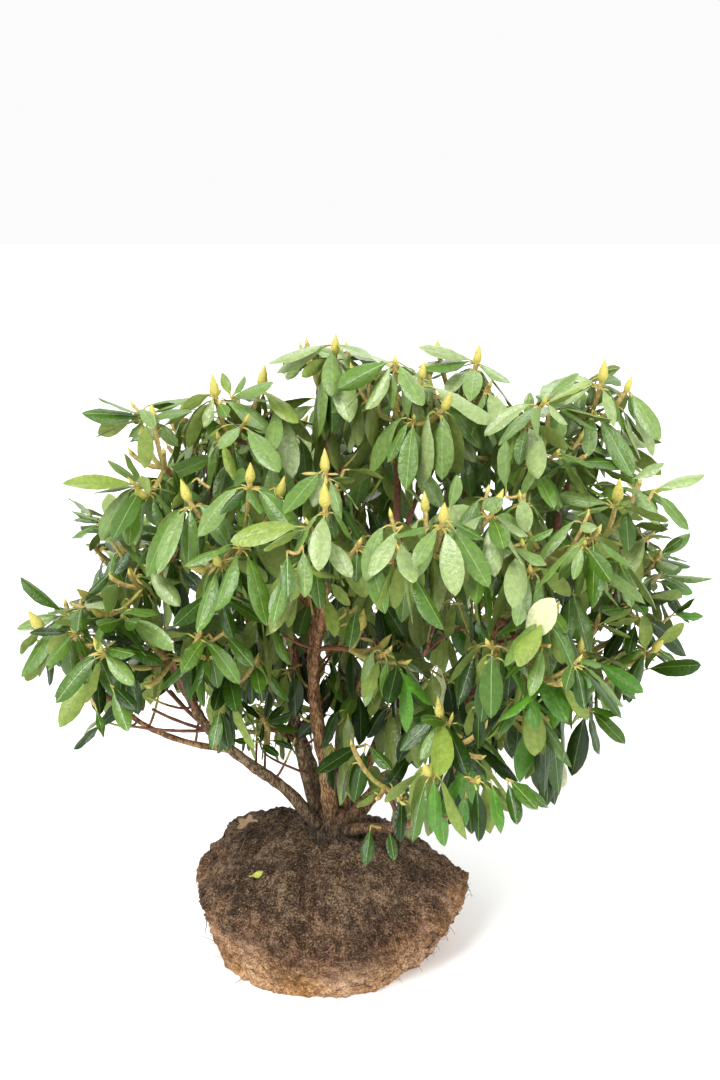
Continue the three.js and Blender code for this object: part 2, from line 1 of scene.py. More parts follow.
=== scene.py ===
"""Looks for the rhododendron: its crown, wood and root ball in full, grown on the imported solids.

The growth rule is the one that shapes the solids. It is written again here, in millimetres, and
carried on to side shoots, whorls of curved leaves, buds and bracts. The soil, bark and roots get
their relief from noise that is worked out from each point's place, so every run is the same.
"""
import itertools
import math

import bpy
import numpy as np
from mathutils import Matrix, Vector


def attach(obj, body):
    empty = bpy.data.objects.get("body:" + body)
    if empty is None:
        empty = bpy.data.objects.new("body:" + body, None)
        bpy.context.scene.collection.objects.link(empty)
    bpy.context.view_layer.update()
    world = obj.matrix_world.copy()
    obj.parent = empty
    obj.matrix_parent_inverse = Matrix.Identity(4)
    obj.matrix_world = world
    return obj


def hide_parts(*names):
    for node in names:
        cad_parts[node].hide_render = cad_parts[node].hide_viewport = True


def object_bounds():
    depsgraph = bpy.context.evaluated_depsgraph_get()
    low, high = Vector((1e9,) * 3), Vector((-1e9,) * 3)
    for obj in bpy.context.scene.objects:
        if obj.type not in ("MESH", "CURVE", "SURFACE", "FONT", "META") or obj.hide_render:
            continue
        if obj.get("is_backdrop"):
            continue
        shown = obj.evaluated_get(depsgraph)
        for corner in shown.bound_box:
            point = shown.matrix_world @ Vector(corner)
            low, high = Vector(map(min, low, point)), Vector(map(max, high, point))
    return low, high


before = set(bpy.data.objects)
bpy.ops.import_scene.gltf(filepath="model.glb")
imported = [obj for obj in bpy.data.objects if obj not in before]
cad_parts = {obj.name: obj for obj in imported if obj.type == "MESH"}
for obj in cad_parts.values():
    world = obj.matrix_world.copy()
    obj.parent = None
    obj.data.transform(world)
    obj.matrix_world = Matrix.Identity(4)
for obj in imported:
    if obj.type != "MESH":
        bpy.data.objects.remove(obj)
cad_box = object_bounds()

# ---- Driving values, in millimetres unless said ----------------------------------------------

MM = 0.001  # the growth rule works in millimetres and the scene in metres

CAMERA = {"place": (50, -2420, 1446), "pitch": math.radians(16.16), "lens": 50, "film": 36}
PICTURE = {"width": 720, "height": 1080}

BALL = {"top_height": 205, "seat_radius": 64, "fall": 1.4}  # `fall` rounds the slope of its top
COLLAR = {"radius": 46, "height": 52, "x": 2, "y": 2, "sides": 48, "relief": 2.6}
LEAD = 24  # how far a limb that carries on from another's tip runs straight
# The limbs' meshes: their rings and sides, how slim they are beside the solids, and their relief.
LIMB = {
    "ring_step": 4, "slim": 0.92, "relief": 0.1, "flare": 0.3, "flare_run": 18,
    "thick": 10, "thick_sides": 20, "thin_sides": 14,
}
STEM = {"foot_radius": 4.9, "hub_radius": 4.2, "pull": 0.45, "along": 0.8}
SHOOT = {"radius": 4.3, "neck": 18, "longest_neck": 0.4, "elbow": 0.6, "dip": 0.33}
SIDE_SHOOT = {
    "foot_radius": 3.2, "tip_radius": 2.9, "shortest": 0.45, "longest": 0.8, "first": 0.3,
    "last": 0.68, "upturn": 0.45, "knee": 0.45,
}
INNER_TWIG = {
    "foot_radius": 2.4, "tip_radius": 1.9, "shortest": 45, "longest": 120, "first": 0.28,
    "last": 0.98, "apart": 21, "upturn": 0.8, "knee": 24, "size": 0.95,
}
SPREAD = {"cone": 1.9, "rise": 0.45, "nearest": 0.88, "farthest": 1.12, "uneven": 0.5}
HUB_SHARE = 0.35  # share of a mass's reach by which its hub lies towards its limb
SHOOT_ROOM = 4  # between a shoot and the boundary of its mass's part of the crown
SETTLE_SHARES = (1, 0.88, 0.76, 0.64, 0.52)  # of a shoot's run, tried until it ends in the crown
SHOOT_CUTS = (1, 0.86, 0.72)  # shares of a main shoot, tried until its whorl has room
WHORL_UPTURN = 0.8  # how far a whorl's axis is turned up from its shoot's
MAIN_WHORL = (8, 11)  # leaves in a main shoot's whorl: the least, and one more than the most
SIDE_WHORL = (6, 9)  # the same for a side shoot
# Last year's leaves: how many hang at each place, and the places along the wood as shares.
OLD_WHORL = {"shoot": 5, "stem": 6, "twig": 5}
OLD_PLACES = {"shoot": ((0.5, 0.65), (0.2, 0.4)), "stem": (0.6, 0.92), "twig": 0.96}
LEAF = {"length": 100, "width": 30, "thickness": 0.9, "petiole": 0.15, "face_up": 1.2, "reach": 106}
LEAF_SIZES = (0.9, 1.15)  # of one whorl and another
SMALL_LEAF_SLIM = 0.6  # the width of a small-leaved mass's leaves, as a share
RIB_HALF = 0.5  # half the width of a midrib
RIB_SUNK = 0.5  # its depth on top, and its height below, in thicknesses of the leaf
RIB_KEEL = 2.0
STALK_RADIUS = 1.3
# How far leaves hang below level, in radians: by height, less by `outer` beyond the sides, and
# uneven from whorl to whorl and from leaf to leaf. Last year's leaves hang by `old`.
HANG = {
    "low": 1.15, "high": 0.88, "from": 440, "to": 920, "outer": 0.7, "side": 230, "side_run": 230,
    "uneven": 0.36, "each": 0.3, "old": 1.3, "old_uneven": 0.15, "steepest": 1.5, "flattest": -0.5,
}
# Lengths of buds in flower and in leaf, and their radii as shares of that.
BUD_SIZE = {"flower": (30, 44), "leaf": (12, 19), "radius": (0.2, 0.23), "sunk": 6}
FLOWER_SHARES = {"seen": 0.85, "others": 0.25, "with_bracts": 0.3}
CLEARANCE = 1.2  # between leaves and the soil
CELL = 5.0  # of the grid that keeps leaves apart
GRID = {"low": (-660, -540, -20), "size": (1400, 1140, 1200)}
CROWN_HEART = np.array([10.0, 20.0, 560.0])  # the point that the crown grows away from
PAST_BOX = 26  # how far leaves may grow past the solids' box
FEWEST_LEAVES = 3  # that a whorl must have room for

# Middles and reaches of the parts of the crown that are filled by the limbs' own leaves.
LIMB_LEAVES = [
    ((10, 90, 560), (250, 230, 240)),
    ((110, -150, 290), (125, 125, 140)),
    ((-415, -60, 500), (130, 130, 175)),
]
CROWN_SEED = 11
GOLDEN_TURN = math.pi * (3 - math.sqrt(5))
UP = np.array([0.0, 0.0, 1.0])

# Half the width of a leaf's blade, from its base to its tip, as shares.
BLADE_ALONG = [0, 0.07, 0.18, 0.33, 0.5, 0.66, 0.81, 0.93, 1]
BLADE_WIDTH = [0.05, 0.26, 0.57, 0.87, 1, 0.98, 0.77, 0.42, 0.03]

# Stems and boughs: where each starts, the share of that limb, its radii and its path.
LIMBS = [
    ("central_stem", "collar", 0, (15, 10.5),
     [(0, -12, 222), (-10, -20, 340), (-26, -28, 450), (-28, -32, 560), (-20, -26, 650)]),
    ("left_stem", "collar", 0, (11.5, 6.5),
     [(-24, 8, 225), (-52, 8, 340), (-66, 4, 440), (-62, 2, 530), (-86, 4, 620), (-130, 10, 720)]),
    ("low_left_bough", "collar", 0, (12.5, 7.5),
     [(-26, -16, 228), (-80, -28, 300), (-150, -52, 368), (-205, -70, 430), (-240, -80, 500)]),
    ("right_stem", "collar", 0, (11.5, 6.5),
     [(22, 10, 225), (30, 14, 340), (38, 8, 440), (74, -8, 540), (104, -16, 650), (110, -24, 780)]),
    ("right_bough", "collar", 0, (14.5, 7),
     [(32, -10, 228), (100, -22, 322), (178, -36, 410), (248, -44, 500), (314, -40, 610),
      (368, -28, 740)]),
    ("low_right_bough", "collar", 0, (10.5, 6),
     [(26, -30, 224), (74, -74, 250), (118, -130, 280), (160, -196, 340), (190, -240, 420)]),
    ("back_left_stem", "collar", 0, (11, 6),
     [(-14, 30, 225), (-50, 76, 340), (-112, 124, 460), (-166, 160, 590), (-204, 184, 730)]),
    ("back_stem", "collar", 0, (11, 6),
     [(6, 36, 225), (14, 96, 350), (22, 170, 480), (28, 226, 620), (14, 262, 770)]),
    ("back_right_stem", "collar", 0, (11, 6),
     [(28, 30, 225), (82, 84, 340), (150, 146, 460), (206, 202, 590), (236, 250, 730)]),
    ("left_outer_bough", "low_left_bough", 0.62, (6, 4.6),
     [(-240, -64, 404), (-310, -62, 432), (-370, -60, 480)]),
    ("right_outer_bough", "right_bough", 0.36, (7.5, 5),
     [(250, -20, 424), (340, -4, 470), (420, 8, 540)]),
    ("front_bough", "central_stem", 0.66, (6.5, 5),
     [(-22, -90, 584), (-10, -160, 660), (0, -212, 740)]),
    ("front_right_bough", "right_bough", 0.52, (7, 5),
     [(238, -110, 520), (252, -190, 590), (262, -236, 680)]),
    ("upper_left_bough", "central_stem", 0.93, (7, 5), [(-66, -70, 700), (-110, -110, 770)]),
    ("upper_bough", "central_stem", 1, (10, 5), [(-8, -6, 740), (-4, 24, 860)]),
]

# Masses of foliage: limb, share of it, number of shoots, centre, reach and size of leaf.
MASSES = [
    ("far_left", "left_outer_bough", 1, 5, (-434, -56, 622), (76, 88, 76), 1),
    ("left_spire", "left_stem", 0.84, 5, (-280, -40, 902), (58, 66, 84), 1),
    ("left_side", "low_left_bough", 1, 5, (-314, -72, 712), (92, 96, 78), 1),
    ("left_low", "low_left_bough", 0.84, 5, (-262, -140, 600), (84, 80, 66), 1),
    ("left_inner", "low_left_bough", 0.72, 3, (-160, -130, 550), (56, 64, 56), 1),
    ("left_shoulder", "left_stem", 1, 5, (-168, 20, 942), (84, 84, 76), 1),
    ("left_front", "upper_left_bough", 1, 5, (-150, -190, 800), (90, 84, 86), 1),
    ("top_centre", "upper_bough", 1, 5, (-6, 56, 1000), (84, 82, 84), 1),
    ("top_middle", "right_stem", 1, 5, (106, -50, 988), (68, 76, 88), 1),
    ("top_right", "right_stem", 0.86, 5, (226, 84, 982), (80, 82, 82), 1),
    ("front_centre", "front_bough", 1, 5, (4, -262, 820), (92, 76, 92), 1),
    ("front_middle", "right_stem", 0.72, 5, (160, -290, 822), (82, 76, 88), 1),
    ("right_shoulder", "right_bough", 1, 5, (338, -32, 920), (80, 84, 78), 1),
    ("right_peak", "right_bough", 0.9, 5, (438, 76, 958), (74, 78, 84), 1),
    ("right_front", "right_bough", 0.82, 5, (326, -220, 806), (92, 84, 84), 1),
    ("right_side", "right_bough", 0.74, 5, (460, -80, 790), (84, 86, 76), 1),
    ("right_far", "right_outer_bough", 1, 5, (512, 46, 680), (76, 92, 76), 1),
    ("right_low", "right_outer_bough", 0.7, 5, (428, -60, 560), (84, 84, 62), 1),
    ("right_middle", "front_right_bough", 1, 5, (304, -306, 660), (86, 72, 78), 1),
    ("low_right_front", "low_right_bough", 1, 5, (190, -300, 516), (88, 74, 60), 1),
    ("low_right_side", "right_bough", 0.44, 5, (308, -180, 502), (84, 80, 58), 1),
    ("low_middle", "low_right_bough", 0.4, 3, (86, -160, 376), (46, 50, 36), 1),
    ("inner_front", "front_bough", 0.3, 4, (50, -170, 612), (70, 60, 60), 1),
    ("low_sprig", "left_stem", 0.28, 3, (-116, -40, 424), (40, 40, 36), 0.5),
    ("back_left_top", "back_left_stem", 1, 5, (-232, 206, 868), (98, 92, 84), 1),
    ("back_left", "back_left_stem", 0.76, 5, (-380, 150, 672), (94, 104, 88), 1),
    ("back_top", "back_stem", 1, 5, (0, 280, 888), (98, 88, 82), 1),
    ("back_right_top", "back_right_stem", 1, 5, (244, 290, 858), (100, 88, 86), 1),
    ("back_right", "back_right_stem", 0.78, 5, (418, 240, 700), (92, 96, 96), 1),
    ("back_middle_left", "back_left_stem", 0.66, 5, (-168, 330, 680), (98, 86, 92), 1),
    ("back_middle", "back_stem", 0.74, 5, (80, 390, 660), (100, 80, 96), 1),
    ("back_low_right", "back_right_stem", 0.5, 5, (262, 320, 486), (96, 84, 70), 1),
    ("back_low_left", "back_left_stem", 0.42, 5, (-220, 236, 476), (92, 84, 66), 1),
]

# ---- Places read off the photograph, as (column, row) pixels of its 720 x 1080 frame ---------

# The crown against the white behind it, clockwise from its lowest leaf on the left.
CROWN_OUTLINE = [
    (82, 762), (66, 742), (58, 716), (52, 690), (24, 682), (16, 632), (18, 574), (40, 578),
    (66, 602), (88, 594), (98, 560), (70, 530), (62, 482), (98, 474), (168, 474), (168, 440),
    (152, 440), (150, 450), (92, 446), (80, 416), (94, 398), (140, 404), (176, 392), (212, 372),
    (244, 376), (284, 388), (316, 398), (318, 386), (280, 380), (270, 356), (300, 336), (338, 334),
    (374, 356), (392, 342), (402, 358), (414, 366), (420, 350), (458, 350), (478, 340), (490, 362),
    (506, 376), (512, 408), (524, 392), (544, 384), (556, 374), (580, 372), (602, 360), (630, 370),
    (646, 394), (664, 440), (664, 468), (702, 476), (704, 488), (672, 500), (692, 528), (684, 560),
    (714, 572), (714, 590), (692, 606), (700, 630), (720, 646), (716, 672), (650, 672), (634, 706),
    (622, 746), (592, 744), (576, 776), (552, 810), (520, 828), (470, 846), (430, 856), (404, 842),
    (402, 828), (400, 864), (362, 868), (360, 828), (398, 824), (396, 810), (342, 810), (334, 800),
    (316, 780), (310, 738), (300, 758), (262, 764), (234, 752), (208, 756), (202, 706), (166, 692),
    (140, 714), (112, 724), (96, 738),
]

# Where no leaf hangs in front of the stems, and how far in front of the camera they stand.
STEM_WINDOW = [
    (296, 600), (328, 594), (336, 648), (372, 612), (386, 624), (344, 694), (330, 800), (292, 806),
    (290, 700),
]
STEM_DEPTH = 2535

# The buds that stand out of the leaves, by their tips.
SEEN_BUDS = [
    (143, 425), (143, 487), (215, 385), (236, 398), (195, 435), (228, 455), (265, 440), (250, 470),
    (280, 485), (285, 412), (300, 420), (325, 408), (325, 460), (325, 495), (335, 343), (357, 375),
    (395, 352), (388, 428), (405, 440), (380, 460), (425, 500), (443, 510), (428, 385), (445, 398),
    (477, 352), (495, 500), (520, 487), (537, 495), (552, 390), (602, 370), (627, 380), (617, 490),
    (590, 495), (585, 550), (530, 560), (440, 705), (463, 730), (520, 690), (580, 640),
    (640, 615), (655, 640), (100, 640), (75, 620), (86, 688), (224, 690), (350, 640), (352, 735),
    (428, 764), (478, 772),
]
STEER_REACH = 50
BEHIND_COST = 0.02  # pixels for each millimetre that a shoot lies behind another
PALE_BEHIND_COST = 0.3  # the same for the wood that bears the palest leaves

# Leaves that stand out, by the places they leave their shoots and by their tips.
SEEN_LEAVES = [
    ((146, 420), [(83, 416), (98, 400), (98, 439), (130, 437), (192, 415), (176, 447)]),
    ((216, 392), [(153, 416), (205, 427)]),
    ((237, 402), [(245, 377), (224, 378), (273, 386), (286, 385), (267, 403)]),
    ((233, 426), [(198, 447), (262, 432)]),
    ((143, 491), [(63, 488), (108, 461), (124, 454), (95, 495), (108, 552), (156, 526), (175, 495)]),
    ((106, 522), [(72, 513), (72, 540)]),
    ((193, 442), [(161, 433), (164, 473)]),
    ((227, 456), [(154, 485), (218, 503), (251, 446), (260, 484)]),
    ((218, 478), [(192, 524)]),
    ((138, 545), [(129, 604), (115, 575), (181, 566)]),
    ((113, 572), [(90, 595)]),
    ((148, 567), [(178, 607)]),
    ((178, 568), [(203, 594)]),
    ((66, 616), [(21, 578), (19, 631), (25, 677), (72, 681)]),
    ((103, 645), [(132, 686), (134, 656)]),
    ((96, 665), [(100, 714), (63, 727)]),
    ((80, 702), [(78, 751)]),
    ((95, 706), [(87, 759), (103, 737)]),
    ((113, 690), [(127, 731), (135, 712)]),
    ((155, 638), [(135, 684), (181, 668), (144, 686)]),
    ((209, 634), [(183, 673)]),
    ((222, 600), [(232, 638), (262, 625)]),
    ((225, 638), [(252, 668)]),
    ((227, 670), [(215, 711), (236, 713)]),
    ((222, 708), [(213, 749), (228, 747)]),
    ((332, 345), [(271, 366), (279, 375), (332, 397), (355, 372), (370, 362)]),
    ((394, 358), [(340, 391), (368, 410), (421, 407), (424, 382)]),
    ((336, 404), [(315, 381)]),
    ((366, 391), [(333, 414)]),
    ((406, 396), [(371, 421)]),
    ((424, 393), [(459, 432)]),
    ((448, 421), [(421, 438)]),
    ((323, 468), [(314, 507), (286, 516)]),
    ((328, 498), [(334, 538)]),
    ((275, 488), [(274, 519), (241, 512)]),
    ((344, 470), [(383, 480)]),
    ((366, 484), [(337, 510)]),
    ((382, 457), [(400, 506), (341, 459)]),
    ((411, 462), [(439, 508), (448, 459)]),
    ((403, 477), [(424, 508)]),
    ((472, 362), [(419, 351), (419, 369), (433, 380), (512, 412), (508, 386)]),
    ((506, 497), [(506, 441)]),
    ((454, 430), [(474, 463)]),
    ((478, 430), [(500, 461)]),
    ((466, 451), [(470, 497)]),
    ((493, 455), [(479, 482)]),
    ((524, 423), [(530, 393)]),
    ((525, 446), [(552, 463)]),
    ((519, 494), [(528, 520)]),
    ((545, 505), [(592, 509)]),
    ((548, 404), [(579, 375), (566, 425)]),
    ((527, 484), [(571, 463)]),
    ((592, 412), [(588, 456), (630, 477)]),
    ((600, 377), [(566, 407), (588, 410)]),
    ((628, 387), [(658, 440), (650, 456), (639, 422)]),
    ((628, 482), [(664, 464), (657, 525)]),
    ((593, 503), [(619, 545)]),
    ((622, 504), [(628, 552)]),
    ((653, 491), [(704, 477), (686, 531)]),
    ((660, 557), [(683, 539), (687, 563)]),
    ((657, 576), [(712, 580), (687, 591)]),
    ((590, 566), [(643, 606)]),
    ((671, 616), [(703, 617), (695, 599)]),
    ((655, 650), [(719, 646), (671, 660)]),
    ((642, 671), [(700, 668)]),
    ((592, 665), [(641, 694)]),
    ((588, 709), [(623, 745), (617, 717), (598, 754), (573, 774)]),
    ((424, 538), [(464, 607)]),
    ((402, 538), [(413, 584)]),
    ((446, 521), [(486, 588), (482, 541)]),
    ((450, 514), [(457, 476)]),
    ((493, 517), [(494, 576), (527, 538)]),
    ((486, 505), [(480, 536)]),
    ((522, 492), [(527, 533)]),
    ((520, 537), [(553, 530)]),
    ((536, 516), [(569, 530)]),
    ((553, 524), [(571, 561)]),
    ((509, 546), [(545, 567)]),
    ((287, 551), [(288, 597)]),
    ((274, 547), [(270, 589)]),
    ((303, 545), [(305, 596)]),
    ((314, 558), [(320, 608)]),
    ((315, 540), [(350, 578)]),
    ((353, 544), [(356, 582)]),
    ((403, 526), [(372, 577)]),
    ((331, 593), [(334, 637)]),
    ((310, 600), [(299, 637)]),
    ((357, 606), [(350, 648)]),
    ((378, 598), [(387, 650), (403, 638)]),
    ((256, 638), [(296, 643)]),
    ((494, 588), [(501, 620)]),
    ((454, 616), [(428, 653), (463, 656)]),
    ((476, 652), [(461, 699)]),
    ((533, 594), [(565, 635)]),
    ((570, 586), [(568, 640), (587, 652)]),
    ((530, 657), [(565, 722)]),
    ((515, 690), [(516, 757), (556, 724)]),
    ((438, 713), [(401, 674), (403, 752), (439, 804), (463, 738)]),
    ((414, 755), [(385, 794)]),
    ((460, 741), [(451, 769), (485, 779), (515, 783), (470, 809)]),
    ((423, 788), [(422, 849)]),
    ((404, 794), [(401, 841), (366, 806)]),
    ((438, 799), [(444, 845)]),
    ((462, 792), [(461, 830), (471, 833)]),
    ((490, 779), [(500, 833)]),
    ((506, 775), [(516, 824), (536, 811), (546, 809)]),
    ((362, 692), [(361, 743), (342, 719)]),
    ((366, 744), [(318, 775), (356, 799), (391, 770)]),
    ((371, 825), [(366, 865)]),
    ((388, 823), [(394, 860)]),
    ((260, 726), [(268, 691), (239, 701), (283, 708), (291, 716), (297, 731)]),
    ((257, 738), [(276, 755), (236, 741)]),
]
# The same for the leaves that turn their undersides to the camera, and for the palest of them.
SEEN_UNDERSIDES = [
    ((146, 420), [(145, 468)]), ((216, 392), [(181, 411)]), ((197, 478), [(172, 511)]),
    ((643, 652), [(644, 616)]), ((653, 648), [(684, 624)]), ((622, 583), [(660, 551)]),
    ((379, 565), [(350, 596)]), ((334, 580), [(349, 606)]), ((380, 581), [(406, 588)]),
]
PALEST_LEAVES = [((524, 647), [(555, 601)]), ((324, 431), [(302, 405)])]
SEEN_LEAF = {
    "shortest": 45, "longest": 132, "width": 31, "pale_width": 43, "least_twig": 12, "twig_foot": 2.8,
    "twig_tip": 2.4, "twig_dip": 3, "spare": 1.03, "lift": 0.4,
}
# How far leaves' tips lie behind their feet, as shares of their length, in the order of trying.
LEANS = (-0.35, -0.05, -0.65, 0.2, -0.95, 0.5)
PATCH = 6  # pixels, in the grid that keeps leaves in view
HIDDEN = {"by_seen": 0.5, "by_others": 0.2}  # most of a leaf that may hide the leaves in view
PALE_SHARE = 0.01  # of the leaves, with a pale underside

# Where the bare twigs low on the left fork and end, and the thin twig of the small sprig runs.
FAN_FORK = (206, 733)
FAN_ENDS = [(131, 726), (152, 709), (159, 681), (170, 690), (189, 696)]
FAN = {"foot_radius": 3.3, "tip_radius": 2.4, "apart": 24, "knee": 0.45, "dip": 9}
LOW_TWIG = [(309, 775), (268, 756), (258, 738)]
LOW_TWIG_RADII = (2.4, 1.8)
LOW_TWIG_FORWARD = 26  # how far it runs in front of the left stem
DRY_LEAF = (248, 826)
YELLOW_LEAF = (257, 879)

# ---- Small helpers ---------------------------------------------------------------------------


def vec(x, y, z):
    return np.array([x, y, z], float)


def unit(vector):
    return vector / np.linalg.norm(vector)


def mix(a, b, share):
    return a + (b - a) * share


def smooth(share):
    share = np.clip(share, 0, 1)
    return share * share * (3 - 2 * share)


def square_to(direction, wanted):
    """Unit vectors at right angles to `direction`, as near to `wanted` as can be."""
    direction = np.atleast_2d(direction)
    left = wanted - direction * (direction @ wanted)[:, None]
    return left / np.linalg.norm(left, axis=1)[:, None]


def turned(vector, axis, angle):
    """`vector` turned about the unit vector `axis`."""
    axis = np.broadcast_to(axis, np.shape(vector))
    along = (vector * axis).sum(-1, keepdims=True)
    cos = np.cos(angle)
    sin = np.sin(angle)
    if np.ndim(angle):
        cos = cos[:, None]
        sin = sin[:, None]
    return vector * cos + np.cross(axis, vector) * sin + axis * along * (1 - cos)


def draws_from(seed):
    """Seeded draws between 0 and 1, the same as in the solids' growth rule."""
    state = seed * 7919 + 104729

    def draw():
        nonlocal state
        state = state * 48271 % 2147483647
        return state / 2147483647

    draw()
    return draw


def lattice(cells, seed):
    """A repeatable value from -1 to 1 for each whole-number point of space."""
    whole = cells.astype(np.int64)
    mixed = whole[..., 0] * 73856093 ^ whole[..., 1] * 19349663 ^ whole[..., 2] * 83492791
    mixed = (mixed ^ (seed + 1) * 40503) & 0x7FFFFFFF
    mixed = ((mixed >> 7) ^ mixed) * 69621 % 2147483647
    mixed = ((mixed >> 11) ^ mixed) * 48271 % 2147483647
    return mixed / 1073741823.5 - 1


def noise(points, size, seed=0):
    """Smooth noise from -1 to 1, with lumps about `size` across."""
    scaled = np.asarray(points) / size
    base = np.floor(scaled)
    part = smooth(scaled - base)
    total = np.zeros(scaled.shape[:-1])
    for corner in itertools.product((0, 1), repeat=3):
        weight = np.prod(np.where(corner, part, 1 - part), axis=-1)
        total += weight * lattice(base + np.array(corner), seed)
    return total


# ---- The picture's view ----------------------------------------------------------------------

CAMERA_PLACE = np.array(CAMERA["place"], float)
FORWARD = np.array([0, math.cos(CAMERA["pitch"]), -math.sin(CAMERA["pitch"])])
ABOVE = np.array([0, math.sin(CAMERA["pitch"]), math.cos(CAMERA["pitch"])])
FOCAL = CAMERA["lens"] / CAMERA["film"] * PICTURE["height"]


def to_picture(points):
    """Columns, rows and depths of points in the photograph's frame."""
    away = points - CAMERA_PLACE
    depths = away @ FORWARD
    columns = PICTURE["width"] / 2 + FOCAL * away[..., 0] / depths
    rows = PICTURE["height"] / 2 - FOCAL * (away @ ABOVE) / depths
    return columns, rows, depths


def from_picture(column, row, depth):
    """The point that shows at a pixel, at a depth in front of the camera."""
    across = vec(1, 0, 0) * (column - PICTURE["width"] / 2)
    return CAMERA_PLACE + depth * (FORWARD + (across - ABOVE * (row - PICTURE["height"] / 2)) / FOCAL)


def in_outline(corners, columns, rows):
    """Whether picture points lie within an outline."""
    start_column, start_row = np.array(corners, float).T
    end_column, end_row = np.roll(corners, -1, 0).T
    crosses = (start_row > rows[:, None]) != (end_row > rows[:, None])
    rise = np.where(end_row == start_row, 1, end_row - start_row)
    edge = start_column + (rows[:, None] - start_row) * (end_column - start_column) / rise
    return (crosses & (columns[:, None] < edge)).sum(1) % 2 == 1


# ---- Camera, floor and light -----------------------------------------------------------------


def make_camera():
    data = bpy.data.cameras.new("camera")
    data.lens = CAMERA["lens"]
    data.sensor_width = CAMERA["film"]
    camera = bpy.data.objects.new("camera", data)
    camera.location = CAMERA_PLACE * MM
    camera.rotation_euler = (math.pi / 2 - CAMERA["pitch"], 0, 0)
    bpy.context.scene.collection.objects.link(camera)
    bpy.context.scene.camera = camera


# Name, kind, place, power, and a sun's angle or a disk's size.
LIGHTS = [
    ("key_light", "SUN", (-1.7, -1.9, 3.2), 2.8, math.radians(26)),
    ("fill_light", "SUN", (2.4, -2.0, 2.4), 1.4, math.radians(26)),
    ("back_light", "AREA", (0.4, 2.4, 2.8), 30, 2.4),
]
LIGHTS_FACE = Vector((0, 0, 0.6))
WORLD_STRENGTH = 0.97
FLOOR = {"half": 14, "colour": (0.93, 0.93, 0.93), "roughness": 0.8}


def make_light(name, kind, place, power, spread):
    """A light that faces the crown. `spread` is a disk's size, or the sun's angle."""
    data = bpy.data.lights.new(name, kind)
    data.energy = power
    if kind == "SUN":
        data.angle = spread
    else:
        data.shape = "DISK"
        data.size = spread
    light = bpy.data.objects.new(name, data)
    light.location = place
    light.rotation_euler = (Vector(place) - LIGHTS_FACE).to_track_quat("Z", "Y").to_euler()
    bpy.context.scene.collection.objects.link(light)


def make_world():
    world = bpy.data.worlds.new("studio")
    world.use_nodes = True
    background = world.node_tree.nodes["Background"]
    background.inputs["Color"].default_value = (1, 1, 1, 1)
    background.inputs["Strength"].default_value = WORLD_STRENGTH
    bpy.context.scene.world = world
    bpy.context.scene.view_settings.view_transform = "Standard"


def make_floor():
    mesh = bpy.data.meshes.new("floor")
    half = FLOOR["half"]
    corners = [(-half, -half, 0), (half, -half, 0), (half, half, 0), (-half, half, 0)]
    mesh.from_pydata(corners, [], [(0, 1, 2, 3)])
    floor = bpy.data.objects.new("floor", mesh)
    bpy.context.scene.collection.objects.link(floor)
    mesh.materials.append(plain_material("floor_paper", FLOOR["colour"], FLOOR["roughness"]))
    floor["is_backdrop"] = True


# ---- Materials -------------------------------------------------------------------------------


def new_material(name):
    material = bpy.data.materials.new(name)
    material.use_nodes = True
    tree = material.node_tree
    return material, tree, tree.nodes["Principled BSDF"]


def plain_material(name, colour, roughness):
    material, _, shader = new_material(name)
    shader.inputs["Base Color"].default_value = (*colour, 1)
    shader.inputs["Roughness"].default_value = roughness
    return material


def node(tree, kind, **settings):
    made = tree.nodes.new(kind)
    for key, value in settings.items():
        setattr(made, key, value)
    return made


def finish_shader(tree, shader, colour, roughness, gloss=0.5):
    tree.links.new(colour, shader.inputs["Base Color"])
    shader.inputs["Roughness"].default_value = roughness
    shader.inputs["Specular IOR Level"].default_value = gloss


def object_noise(tree, scale, detail=3.0, stretch=(1, 1, 1)):
    """A noise pattern fixed to the object, with `scale` lumps to the metre."""
    place = node(tree, "ShaderNodeTexCoord")
    sized = node(tree, "ShaderNodeMapping")
    sized.inputs["Scale"].default_value = stretch
    pattern = node(tree, "ShaderNodeTexNoise")
    pattern.inputs["Scale"].default_value = scale
    pattern.inputs["Detail"].default_value = detail
    tree.links.new(place.outputs["Object"], sized.inputs["Vector"])
    tree.links.new(sized.outputs["Vector"], pattern.inputs["Vector"])
    return pattern.outputs["Fac"]


def colour_ramp(tree, value, stops):
    """Colours along a value: each stop is (place, web colour)."""
    ramp = node(tree, "ShaderNodeValToRGB")
    elements = ramp.color_ramp.elements
    while len(elements) < len(stops):
        elements.new(0.5)
    for element, (place, code) in zip(elements, stops):
        element.position = place
        element.color = (*from_hex(code), 1)
    tree.links.new(value, ramp.inputs["Fac"])
    return ramp.outputs["Color"]


def mapped(tree, value, low, high):
    """How far a value has come from low to high."""
    share = node(tree, "ShaderNodeMapRange")
    share.inputs["From Min"].default_value = low
    share.inputs["From Max"].default_value = high
    tree.links.new(value, share.inputs["Value"])
    return share.outputs["Result"]


